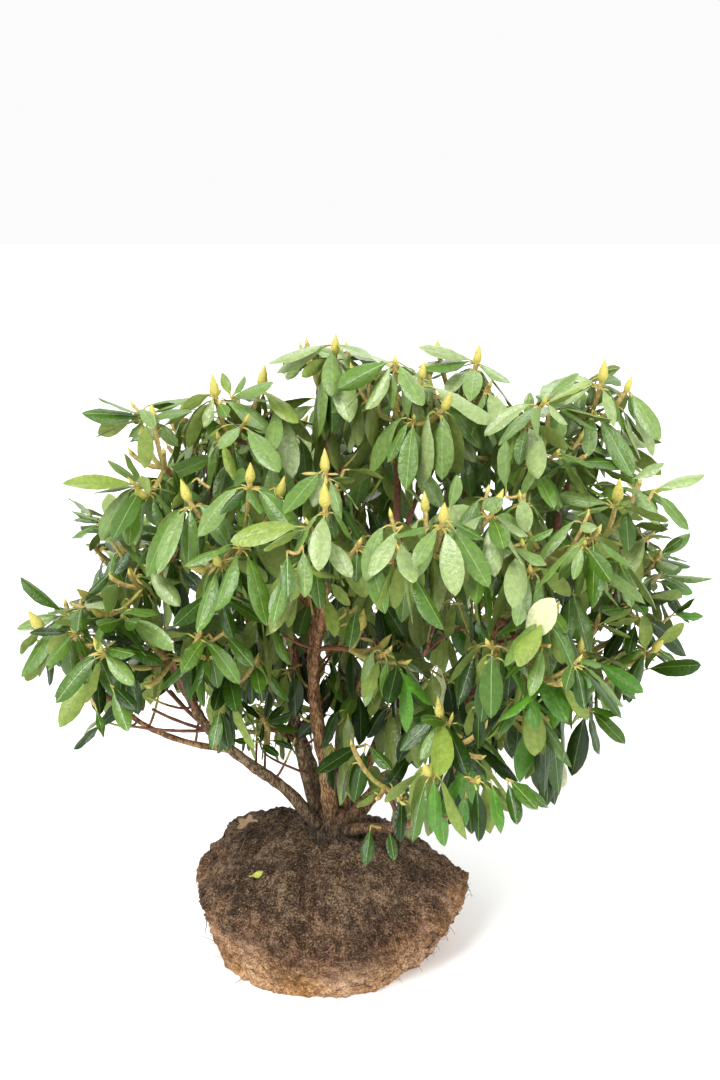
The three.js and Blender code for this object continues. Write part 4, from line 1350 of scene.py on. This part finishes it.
BUD_SIDES = 9
BUD_ALONG = np.array([0, 0.08, 0.2, 0.34, 0.48, 0.6, 0.72, 0.83, 0.92, 1])
BUD_WIDTH = np.array([0.4, 0.72, 0.96, 1.0, 0.9, 0.74, 0.54, 0.35, 0.19, 0.04])
BUD_FACES = ring_faces(len(BUD_ALONG), BUD_SIDES)
BUD_CAPS = end_caps(len(BUD_ALONG), BUD_SIDES)
SCALE_ROWS = 4.5  # of scales along a bud
SCALE_RELIEF = 0.16
BUD, BRACT = range(2)


def bud_materials():
    """Yellow-green scales with tan edges, and paler bracts."""
    material, tree, shader = new_material("bud_scale")
    stops = [(0.4, "b3b04c"), (0.56, "c9bf62"), (0.66, "b58f4a")]
    colour = colour_ramp(tree, object_noise(tree, 260, 3), stops)
    finish_shader(tree, shader, colour, roughness=0.5)
    add_bump(tree, shader, object_noise(tree, 400, 3), 0.5)
    return [material, leaf_material("bud_bract", "b3a55c", 0.6, 0.3)]


def add_bud(pile, root, axis, length, radius):
    """A pointed bud with overlapping scales."""
    turn = np.arange(BUD_SIDES) * 2 * math.pi / BUD_SIDES
    along = BUD_ALONG[:, None]
    scale = (along * SCALE_ROWS + 0.5 * np.abs(np.sin(1.5 * turn + 2.2 * along))) % 1
    radii = radius * BUD_WIDTH[:, None] * (0.9 + SCALE_RELIEF * (1 - scale))
    first = square_to(axis, UP + 0.3)[0]
    second = np.cross(axis, first)
    around = first * np.cos(turn)[:, None] + second * np.sin(turn)[:, None]
    points = root + (axis * length * along)[:, None] + around * radii[..., None]
    pile.add(points.reshape(-1, 3), [BUD_FACES, BUD_CAPS], [BUD, BUD])


def add_bracts(pile, whorl, rng):
    """Thin curled bracts below a flower bud."""
    for k in range(rng.integers(3, 6)):
        out = turned(whorl["first"], whorl["axis"], whorl["phase"] + 0.5 + k * GOLDEN_TURN)
        leaf = leaf_shape(rng, 0.3, 0.45)
        leaf.update(
            root=whorl["root"] + whorl["axis"] * 8,
            start=unit(out + whorl["axis"]),
            end=unit(out + rng.uniform(-0.6, 0.5) * UP),
            upper=UP + 0.3 * out,
            wave=0,
        )
        slots = np.full(len(LEAF_FACES), BRACT)
        pile.add(leaf_mesh(leaf), [LEAF_FACES, LEAF_CAPS], [slots, [BRACT, BRACT]])


def add_twig(pile, curve, first, last, sides=7, ripe=0.0):
    """A tan shoot that turns green and then red-brown away from its tip."""
    rings = max(4, int(curve.length / 8))
    share = np.linspace(0, 1, rings)
    radii = mix(first, last, share)
    radii = radii * (1 + 0.06 * np.sin(share * curve.length / 2.3))

    def relief(points):
        return 0.35 * noise(points, 5, 3)

    points = tube_points(curve.at(share), curve.tangent(share), radii, sides, relief)
    age = np.clip((1 - share[:-1]) * curve.length / 55 + ripe, 0, 2.99).astype(int)
    pile.add_tube(points, rings, sides, np.repeat(age, sides), [age[0], age[-1]])


def twig_materials():
    return [
        twig_material("twig_tan", "bca763", "927a43", 0.4),
        twig_material("twig_green", "aaa350", "8a8440", 0.4),
        twig_material("twig_brown", "865438", "5d3a28", 0.8),
    ]


def add_fan(pile, limbs):
    """Thin bare twigs that fan out low on the left of the crown."""
    bough = limbs["low_left_bough"]["curve"]
    shares = np.linspace(0.3, 1, 200)
    columns, rows, depths = to_picture(bough.at(shares))
    nearest = np.argmin(np.hypot(columns - FAN_FORK[0], rows - FAN_FORK[1]))
    foot = bough.at(shares[nearest])
    for k, (column, row) in enumerate(FAN_ENDS):
        behind = FAN["apart"] * (k - len(FAN_ENDS) // 2)
        tip = from_picture(column, row, depths[nearest] + behind)
        knee = mix(foot, tip, FAN["knee"]) - UP * FAN["dip"]
        add_twig(pile, bend(foot, knee, tip), FAN["foot_radius"], FAN["tip_radius"], ripe=3)


def add_low_twig(pile, limbs):
    """The thin red twig that runs from the foot of the stems to the small sprig."""
    start, middle, end = LOW_TWIG
    depth = to_picture(limbs["left_stem"]["curve"].at(0.1))[2]
    points = [from_picture(*pixel, depth - LOW_TWIG_FORWARD) for pixel in (start, middle, end)]
    add_twig(pile, flowing(points), *LOW_TWIG_RADII, ripe=3)


# ---- Growing the crown -----------------------------------------------------------------------

GROUPS = ("left", "middle", "top", "right", "back_left", "back_right")


def group_at(place):
    x, y, z = place
    if y > 130:
        return "back_left" if x < 20 else "back_right"
    if x < -100:
        return "left"
    if x > 250:
        return "right"
    return "top" if z > 780 else "middle"


def grow_tip(space, shoot, rng, piles, leaf_count, flower, fewest):
    """A whorl of leaves with a bud above it. Returns whether there was room for it."""
    curve = shoot["curve"]
    mass = shoot["mass"]
    if fewest and space.hides(curve.at(1)):
        return False
    slim = SMALL_LEAF_SLIM if mass["leaf"] < 1 else 1
    share = 1 - min(SHOOT["longest_neck"], SHOOT["neck"] / curve.length)
    whorl = whorl_at(curve, share, rng, hidden=HIDDEN["by_seen" if shoot["seen"] else "by_others"])
    size = mass["leaf"] * rng.uniform(*LEAF_SIZES)
    pile = piles[group_at(mass["centre"])]
    if not grow_whorl(space, whorl, leaf_count, rng, pile, size, slim, fewest=fewest):
        return False
    length = rng.uniform(*BUD_SIZE["flower" if flower else "leaf"])
    radius = length * rng.uniform(*BUD_SIZE["radius"])
    axis = unit(curve.tangent(1) + 0.5 * UP)
    small = mass["leaf"] ** 0.5
    root = curve.at(1) - axis * BUD_SIZE["sunk"]
    add_bud(piles["buds"], root, axis, length * small, radius * small)
    if flower and rng.random() < FLOWER_SHARES["with_bracts"]:
        add_bracts(piles["buds"], whorl, rng)
    return True


def grow_shoot(space, shoot, rng, piles):
    """A main shoot with its whorl, cut back as far as its whorl needs to find room."""
    flower = rng.random() < FLOWER_SHARES["seen" if shoot["seen"] else "others"]
    whole = shoot["curve"]
    for end in SHOOT_CUTS:
        shoot["curve"] = whole.part(end)
        fewest = 0 if shoot["seen"] or end == SHOOT_CUTS[-1] else FEWEST_LEAVES
        if grow_tip(space, shoot, rng, piles, int(rng.integers(*MAIN_WHORL)), flower, fewest):
            break
    add_twig(piles["twigs"], shoot["curve"], STEM["hub_radius"], SHOOT["radius"])


def grow_old_leaves(space, curve, share, count, rng, pile, size):
    """Last year's leaves, which hang below a whorl."""
    whorl = whorl_at(curve, share, rng, HANG["old"] + rng.normal(0, HANG["old_uneven"]))
    grow_whorl(space, whorl, count, rng, pile, size, age="old")


def grow_inner(space, limbs, piles, rng):
    """Short twigs with old leaves along the upper part of each limb."""
    for limb in limbs.values():
        curve = limb["curve"]
        step = INNER_TWIG["apart"] / curve.length
        for share in np.arange(INNER_TWIG["first"], INNER_TWIG["last"], step):
            foot = curve.at(share)
            out = square_to(curve.tangent(share), rng.normal(size=3))[0]
            length = rng.uniform(INNER_TWIG["shortest"], INNER_TWIG["longest"])
            tip = foot + unit(out + INNER_TWIG["upturn"] * UP) * length
            if not space.holds(tip[None]):
                continue
            twig = bend(foot, foot + out * INNER_TWIG["knee"], tip)
            add_twig(piles["twigs"], twig, INNER_TWIG["foot_radius"], INNER_TWIG["tip_radius"], ripe=1)
            pile = piles[group_at(tip)]
            place, count = OLD_PLACES["twig"], OLD_WHORL["twig"]
            grow_old_leaves(space, twig, place, count, rng, pile, INNER_TWIG["size"])


def add_mass_stems(space, limbs, masses, pile):
    """Enters the limbs in the grid, and the masses' stems in the grid and the pile."""
    for limb in limbs.values():
        space.mark_wood(limb["curve"], *limb["radii"])
    for mass in masses:
        space.mark_wood(mass["stem"], mass["radius"], STEM["hub_radius"])
        add_twig(pile, mass["stem"], mass["radius"], STEM["hub_radius"], ripe=2)


def plan_shoots(space, masses, rng):
    """The main shoots, moved onto the buds in view, and the side shoots that leave them."""
    shoots = main_shoots(space, masses)
    steer(shoots)
    for shoot in shoots:
        shoot["curve"] = settle(space, shoot)
    shoots = [shoot for shoot in shoots if shoot["curve"]]
    sides = [side for shoot in shoots for side in side_shoots(space, shoot, rng)]
    for shoot in shoots:
        space.mark_wood(shoot["curve"], SHOOT["radius"], SHOOT["radius"])
    return shoots, sides


def grow_shoots(space, shoots, sides, piles, rng):
    """The whorls and buds of all shoots, those that show in the photograph first."""
    for shoot in sorted(shoots, key=lambda shoot: not shoot["seen"]):
        grow_shoot(space, shoot, rng, piles)
    for side in sides:
        if grow_tip(space, side, rng, piles, int(rng.integers(*SIDE_WHORL)), False, FEWEST_LEAVES):
            add_twig(piles["twigs"], side["curve"], SIDE_SHOOT["foot_radius"], SIDE_SHOOT["tip_radius"])


def grow_last_year(space, shoots, masses, piles, rng):
    """Last year's leaves along the shoots and the masses' stems."""
    for shoot in shoots:
        mass = shoot["mass"]
        pile = piles[group_at(mass["centre"])]
        for share in [rng.uniform(*places) for places in OLD_PLACES["shoot"]]:
            grow_old_leaves(space, shoot["curve"], share, OLD_WHORL["shoot"], rng, pile, mass["leaf"])
    for mass in masses:
        pile = piles[group_at(mass["centre"])]
        for share in OLD_PLACES["stem"]:
            grow_old_leaves(space, mass["stem"], share, OLD_WHORL["stem"], rng, pile, mass["leaf"])


def make_crown(piles, masses):
    """The crown's pieces, each with the masses that it replaces."""
    looks = leaf_materials()
    for group in GROUPS:
        piece = piles[group].make(f"leaves_{group}", looks, "foliage")
        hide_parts(*[f"foliage_{m['name']}" for m in masses if group_at(m["centre"]) == group])
    piles["twigs"].make("twigs", twig_materials(), "bark")
    piles["buds"].make("buds", bud_materials(), "foliage")


def grow_crown(limbs):
    masses = [place_mass(limbs, entry, seed + 1) for seed, entry in enumerate(MASSES)]
    space = Space(masses)
    rng = np.random.default_rng(CROWN_SEED)
    piles = {name: Pile() for name in (*GROUPS, "twigs", "buds")}
    add_mass_stems(space, limbs, masses, piles["twigs"])
    shoots, sides = plan_shoots(space, masses, rng)
    curves = [growth["curve"] for growth in (*limbs.values(), *shoots, *sides)]
    curves += [mass["stem"] for mass in masses]
    grow_seen_leaves(space, curves, piles, rng)
    grow_shoots(space, shoots, sides, piles, rng)
    grow_last_year(space, shoots, masses, piles, rng)
    grow_inner(space, limbs, piles, rng)
    add_fan(piles["twigs"], limbs)
    add_low_twig(piles["twigs"], limbs)
    make_crown(piles, masses)


# ---- Wood ------------------------------------------------------------------------------------

# Colours of the bark's hollows, faces and edges.
BARK = {
    "foot": ("17110c", "352a1d", "5c4a34"),
    "grey": ("3a2c1f", "6b563f", "9c8467"),
    "tan": ("4c321f", "83603f", "b39068"),
    "red": ("4a2c1c", "80553a", "aa7f58"),
}
GREY_LIMBS = ("left_stem", "low_left_bough", "back_left_stem")


def wood_material(name, low_colours, high_colours):
    """Flaking bark, almost black at the foot and redder higher up."""
    material, tree, shader = new_material(name)
    flakes = noise_sum(tree, [(420, 5, 0.6), (110, 5, 0.4)], stretch=(1, 1, 0.3))
    foot, low, high = (
        colour_ramp(tree, flakes, list(zip((0.41, 0.5, 0.59), BARK[colours])))
        for colours in ("foot", low_colours, high_colours)
    )
    upper = blend_colours(tree, height_share(tree, 0.4, 0.7, 0.1), low, high)
    share = height_share(tree, 0.225, 0.3, 0.04)
    colour = blend_colours(tree, share, foot, upper)
    finish_shader(tree, shader, colour, roughness=0.8, gloss=0.3)
    add_bump(tree, shader, flakes, 3)
    return material


def bark_relief(amount, run):
    """Knobs, and ridges that run along the wood, as extra radius. `run` is each ring's place."""

    def relief(points):
        rings, sides, _ = points.shape
        turn = np.arange(sides) * 2 * math.pi / sides
        ring = np.stack([np.cos(turn), np.sin(turn)], -1) * 10 * amount
        along = np.broadcast_to(run[:, None, None] / 5, (rings, sides, 1))
        place = np.concatenate([np.broadcast_to(ring, (rings, sides, 2)), along], -1)
        knobs = 1.2 * noise(points, 17, 1) + 0.6 * noise(points, 8, 2)
        return amount * (knobs + noise(place, 4.5, 5))

    return relief


def make_wood(limbs):
    pile = Pile()
    for name, limb in limbs.items():
        curve = limb["curve"]
        first, last = limb["radii"]
        rings = int(curve.length / LIMB["ring_step"])
        share = np.linspace(0, 1, rings)
        flare = 1 + LIMB["flare"] * np.exp(-share * curve.length / LIMB["flare_run"])
        radii = mix(first, last, share) * flare * LIMB["slim"]
        sides = LIMB["thick_sides"] if first > LIMB["thick"] else LIMB["thin_sides"]
        relief = bark_relief(LIMB["relief"] * first, share * curve.length)
        points = tube_points(curve.at(share), curve.tangent(share), radii, sides, relief)
        pile.add_tube(points, rings, sides, int(name in GREY_LIMBS))
    add_collar(pile)
    looks = [wood_material("bark", "tan", "red"), wood_material("bark_grey", "grey", "red")]
    piece = pile.make("bark", looks, "bark")
    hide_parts("root_collar", *limbs)


def add_collar(pile):
    """The gnarled foot that the stems rise from."""
    rise = np.array([-0.1, 0.0, 0.06, 0.14, 0.25, 0.38, 0.5, 0.62, 0.74, 0.85, 0.94, 1.0])
    out = np.array([1.0, 1.0, 0.92, 0.84, 0.79, 0.76, 0.72, 0.66, 0.58, 0.46, 0.3, 0.05])
    foot = vec(COLLAR["x"], COLLAR["y"], BALL["top_height"])
    centres = foot + UP * (rise * COLLAR["height"])[:, None]
    tangents = np.tile(UP, (len(rise), 1))
    relief = bark_relief(COLLAR["relief"], centres[:, 2])
    points = tube_points(centres, tangents, out * COLLAR["radius"], COLLAR["sides"], relief)
    pile.add_tube(points, len(rise), COLLAR["sides"], 0)


# ---- Root ball -------------------------------------------------------------------------------

SOIL_SEED = 5
SOIL_SIDES = 380
SOIL_RINGS = [(0.01, 0.96, 76), (0.97, 1.04, 8), (1.05, 2, 50)]  # first, last and number
FIBRES = 900
HAIRS = 110  # the first fibres, which stand off the soil
HAIR = {"rings": 8, "down": (1.0, 1.9), "length": (0.08, 0.2)}
FLAT_FIBRE = {"rings": 6, "down": (0.4, 1.9), "length": (0.04, 0.13)}
FIBRE_SIDES = 4
CRUMBS = 520
CRUMB_SIDES = 7


def noise_sum(tree, parts, stretch=(1, 1, 1)):
    """Noise patterns added up: each part is (lumps to the metre, detail, share)."""
    total = None
    for scale, detail, share in parts:
        step = node(tree, "ShaderNodeMath", operation="MULTIPLY_ADD")
        tree.links.new(object_noise(tree, scale, detail, stretch), step.inputs[0])
        step.inputs[1].default_value = share
        step.inputs[2].default_value = 0
        if total:
            tree.links.new(total, step.inputs[2])
        total = step.outputs["Value"]
    return total


def soil_material():
    """Dark peat, redder below the rim, over a paler side that is golden in parts."""
    material, tree, shader = new_material("soil")
    grain = noise_sum(tree, [(300, 7, 0.48), (66, 4, 0.27), (17, 3, 0.25)])
    tints = {
        "grey": [(0.41, "20170f"), (0.5, "493829"), (0.59, "806b55")],
        "red": [(0.41, "251710"), (0.5, "513727"), (0.59, "83624b")],
        "pale": [(0.4, "664833"), (0.5, "a07e61"), (0.59, "c9a98c")],
        "gold": [(0.4, "553a23"), (0.5, "8f683f"), (0.59, "bd9466")],
    }
    grey, red, pale, gold = (colour_ramp(tree, grain, stops) for stops in tints.values())
    top = blend_colours(tree, height_share(tree, 0.15, 0.07, 0.14), grey, red)
    side = blend_colours(tree, mapped(tree, object_noise(tree, 11, 4), 0.36, 0.64), gold, pale)
    soil = blend_colours(tree, height_share(tree, 0.035, 0.085, 0.1, lift=0.7), side, top)
    specks = mapped(tree, object_noise(tree, 380, 2), 0.68, 0.74)
    straw = node(tree, "ShaderNodeRGB")
    straw.outputs["Color"].default_value = (*from_hex("b59a72"), 1)
    soil = blend_colours(tree, specks, soil, straw.outputs["Color"])
    finish_shader(tree, shader, soil, roughness=0.95, gloss=0.2)
    add_bump(tree, shader, grain, 7)
    return material


def ball_surface(turn, down):
    """A point of the root ball. `down` runs from 0 at the middle of the top over the rim at 1 to
    the foot at 2."""
    rim, rim_height, base = ball_outline(turn)
    top = np.clip(down, 0, 1)
    side = np.clip(down - 1, 0, 1)
    seat = BALL["seat_radius"]
    share = np.clip((top * rim - seat) / (rim - seat), 0, 1)
    radius = np.where(down <= 1, top * rim, mix(rim, base, side))
    top_height = mix(BALL["top_height"], rim_height, share ** BALL["fall"])
    height = np.where(down <= 1, top_height, mix(rim_height, 0, side))
    return np.stack([radius * np.cos(turn), radius * np.sin(turn), height], -1)


def soil_relief(points):
    lumps = 6 * noise(points, 42, 11) + 4.5 * noise(points, 19, 12)
    return lumps + 3.6 * noise(points, 10, 13) + 2.4 * noise(points, 5, 14)


def soil_surface(turn, down, raised=0.0):
    """Points of the lumpy soil, or `raised` above it, and which way is out."""
    step = 0.01
    around = ball_surface(turn + step, down) - ball_surface(turn - step, down)
    fall = ball_surface(turn, down + step) - ball_surface(turn, down - step)
    out = np.cross(fall, around)
    out /= np.linalg.norm(out, axis=-1, keepdims=True)
    points = ball_surface(turn, down)
    return points + out * (soil_relief(points) + raised)[..., None], out


def make_ball():
    down = np.concatenate([np.linspace(*rings) for rings in SOIL_RINGS])
    turn = np.arange(SOIL_SIDES) * 2 * math.pi / SOIL_SIDES
    grid_down, grid_turn = np.meshgrid(down, turn, indexing="ij")
    points, _ = soil_surface(grid_turn, grid_down)
    rings = len(down)
    lowest = 0.6 * np.arange(rings)[::-1]
    points[..., 2] = np.maximum(points[..., 2], np.minimum(lowest, 12)[:, None])
    points[-1, :, 2] = 0
    pile = Pile()
    pile.add_tube(points.reshape(-1, 3), rings, SOIL_SIDES, 0)
    piece = pile.make("soil_ball", [soil_material()], "soil")
    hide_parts("root_ball")


def add_fibre(pile, rng, loose):
    """A fine root that lies along the soil. A loose one stands off it at its end."""
    kind = HAIR if loose else FLAT_FIBRE
    share = np.linspace(0, 1, kind["rings"])
    down = rng.uniform(*kind["down"])
    way = rng.uniform(0, 2 * math.pi)
    length = rng.uniform(*kind["length"])
    wander = 0.02 * np.sin(share * rng.uniform(4, 9) + rng.uniform(0, 6))
    turn = rng.uniform(0, 2 * math.pi) + (share * length + wander) * math.cos(way)
    down = np.clip(down + (share * length + wander) * math.sin(way), 0.4, 1.94)
    raised = 1.2 - 3 * np.abs(2 * share - 1) ** 4
    if loose:
        raised = 1 + rng.uniform(6, 18) * share**2
    points, _ = soil_surface(turn, down, raised)
    points[:, 2] = np.maximum(points[:, 2], 1.5)
    curve = Curve(points)
    radii = rng.uniform(0.4, 0.9) * (1 - 0.6 * share)
    slot = int(rng.integers(0, 2))
    tube = tube_points(curve.at(share), curve.tangent(share), radii, FIBRE_SIDES)
    pile.add_tube(tube, len(share), FIBRE_SIDES, slot)


def add_crumb(pile, rng):
    """A small clod that sits on the soil."""
    place, out = soil_surface(rng.uniform(0, 2 * math.pi), rng.uniform(0.15, 1.25), 0.6)
    size = rng.uniform(1.3, 3.8)
    along = np.array([-0.9, -0.45, 0.1, 0.6, 0.95])
    centres = place + out * size * along[:, None]
    radii = size * np.array([0.45, 0.95, 1, 0.75, 0.3])
    tangents = np.tile(out, (len(along), 1))

    def relief(points):
        return 0.4 * size * noise(points, size, 21)

    tube = tube_points(centres, tangents, radii, CRUMB_SIDES, relief)
    pile.add_tube(tube, len(along), CRUMB_SIDES, 2)


def make_litter():
    """Fine roots and clods on the soil."""
    rng = np.random.default_rng(SOIL_SEED)
    pile = Pile()
    for k in range(FIBRES):
        add_fibre(pile, rng, k < HAIRS)
    for _ in range(CRUMBS):
        add_crumb(pile, rng)
    pile.make("fine_roots", [
        twig_material("root_pale", "8f7152", "64492f", 0.3),
        twig_material("root_dark", "4c3524", "2c1d13", 0.3),
        twig_material("clod", "5f4834", "2a1d13", 2.5),
    ], "soil")


def on_soil(column, row):
    """The point of the soil that shows at a pixel."""
    depths = np.arange(2100, 3000, 0.5)
    line = np.array([from_picture(column, row, depth) for depth in depths])
    under = line[:, 2] < soil_height(line[:, 0], line[:, 1])
    return line[np.argmax(under)]


def add_lobed_leaf(pile, place, facing, radius):
    """A dry, curled leaf with five lobes."""
    sides = 40
    turn = np.arange(sides) * 2 * math.pi / sides
    across = square_to(facing, vec(1, 0, 0))[0]
    along = np.cross(facing, across)
    lobes = radius * (0.82 + 0.18 * np.cos(5 * turn)) * (1 + 0.12 * np.sin(2 * turn + 1))
    over = np.array([0.02, 0.35, 0.7, 1.0])
    out = np.concatenate([over, over[::-1] * 0.98])[:, None] * lobes
    flat = across * (out * np.cos(turn))[..., None] + along * (out * np.sin(turn))[..., None]
    curl = 0.012 * out**2 + 0.6 * np.sin(4 * turn + out / 5)
    curl[len(over):] -= 1
    points = place + flat + facing * curl[..., None]
    pile.add_tube(points[::-1].reshape(-1, 3), len(points), sides, 0)


def make_fallen_leaves():
    """A dry leaf and a yellow one that lie on the soil."""
    rng = np.random.default_rng(SOIL_SEED)
    pile = Pile()
    facing = unit(vec(-0.2, -0.5, 1))
    add_lobed_leaf(pile, on_soil(*DRY_LEAF) + facing * 7, facing, 19)
    leaf = leaf_shape(rng, 0.6, 1)
    way = vec(0.95, 0.3, 0.06)
    leaf.update(
        root=on_soil(*YELLOW_LEAF) + UP * 8 - way * 14, start=way, end=way, upper=UP + vec(0, -0.9, 0),
        length=30, width=12, roll=0, twist=0.5, wave=1.5, sag=0.1,
    )
    slots = np.full(len(LEAF_FACES), 1)
    pile.add(leaf_mesh(leaf), [LEAF_FACES, LEAF_CAPS], [slots, [1, 1]])
    dry = leaf_material("dry_leaf", "b79a7c", 0.8, 0.8, 0.2)
    yellow = leaf_material("yellow_leaf", "a9b046", 0.5, 0.4)
    pile.make("fallen_leaves", [dry, yellow], "foliage")


# ---- The scene -------------------------------------------------------------------------------

make_camera()
make_world()
for light in LIGHTS:
    make_light(*light)
make_floor()

limbs = grow_limbs()
grow_crown(limbs)
make_wood(limbs)
make_ball()
make_litter()
make_fallen_leaves()

boxes = {"cad": cad_box, "visual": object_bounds()}
{name: [list(corner) for corner in box] for name, box in boxes.items()}
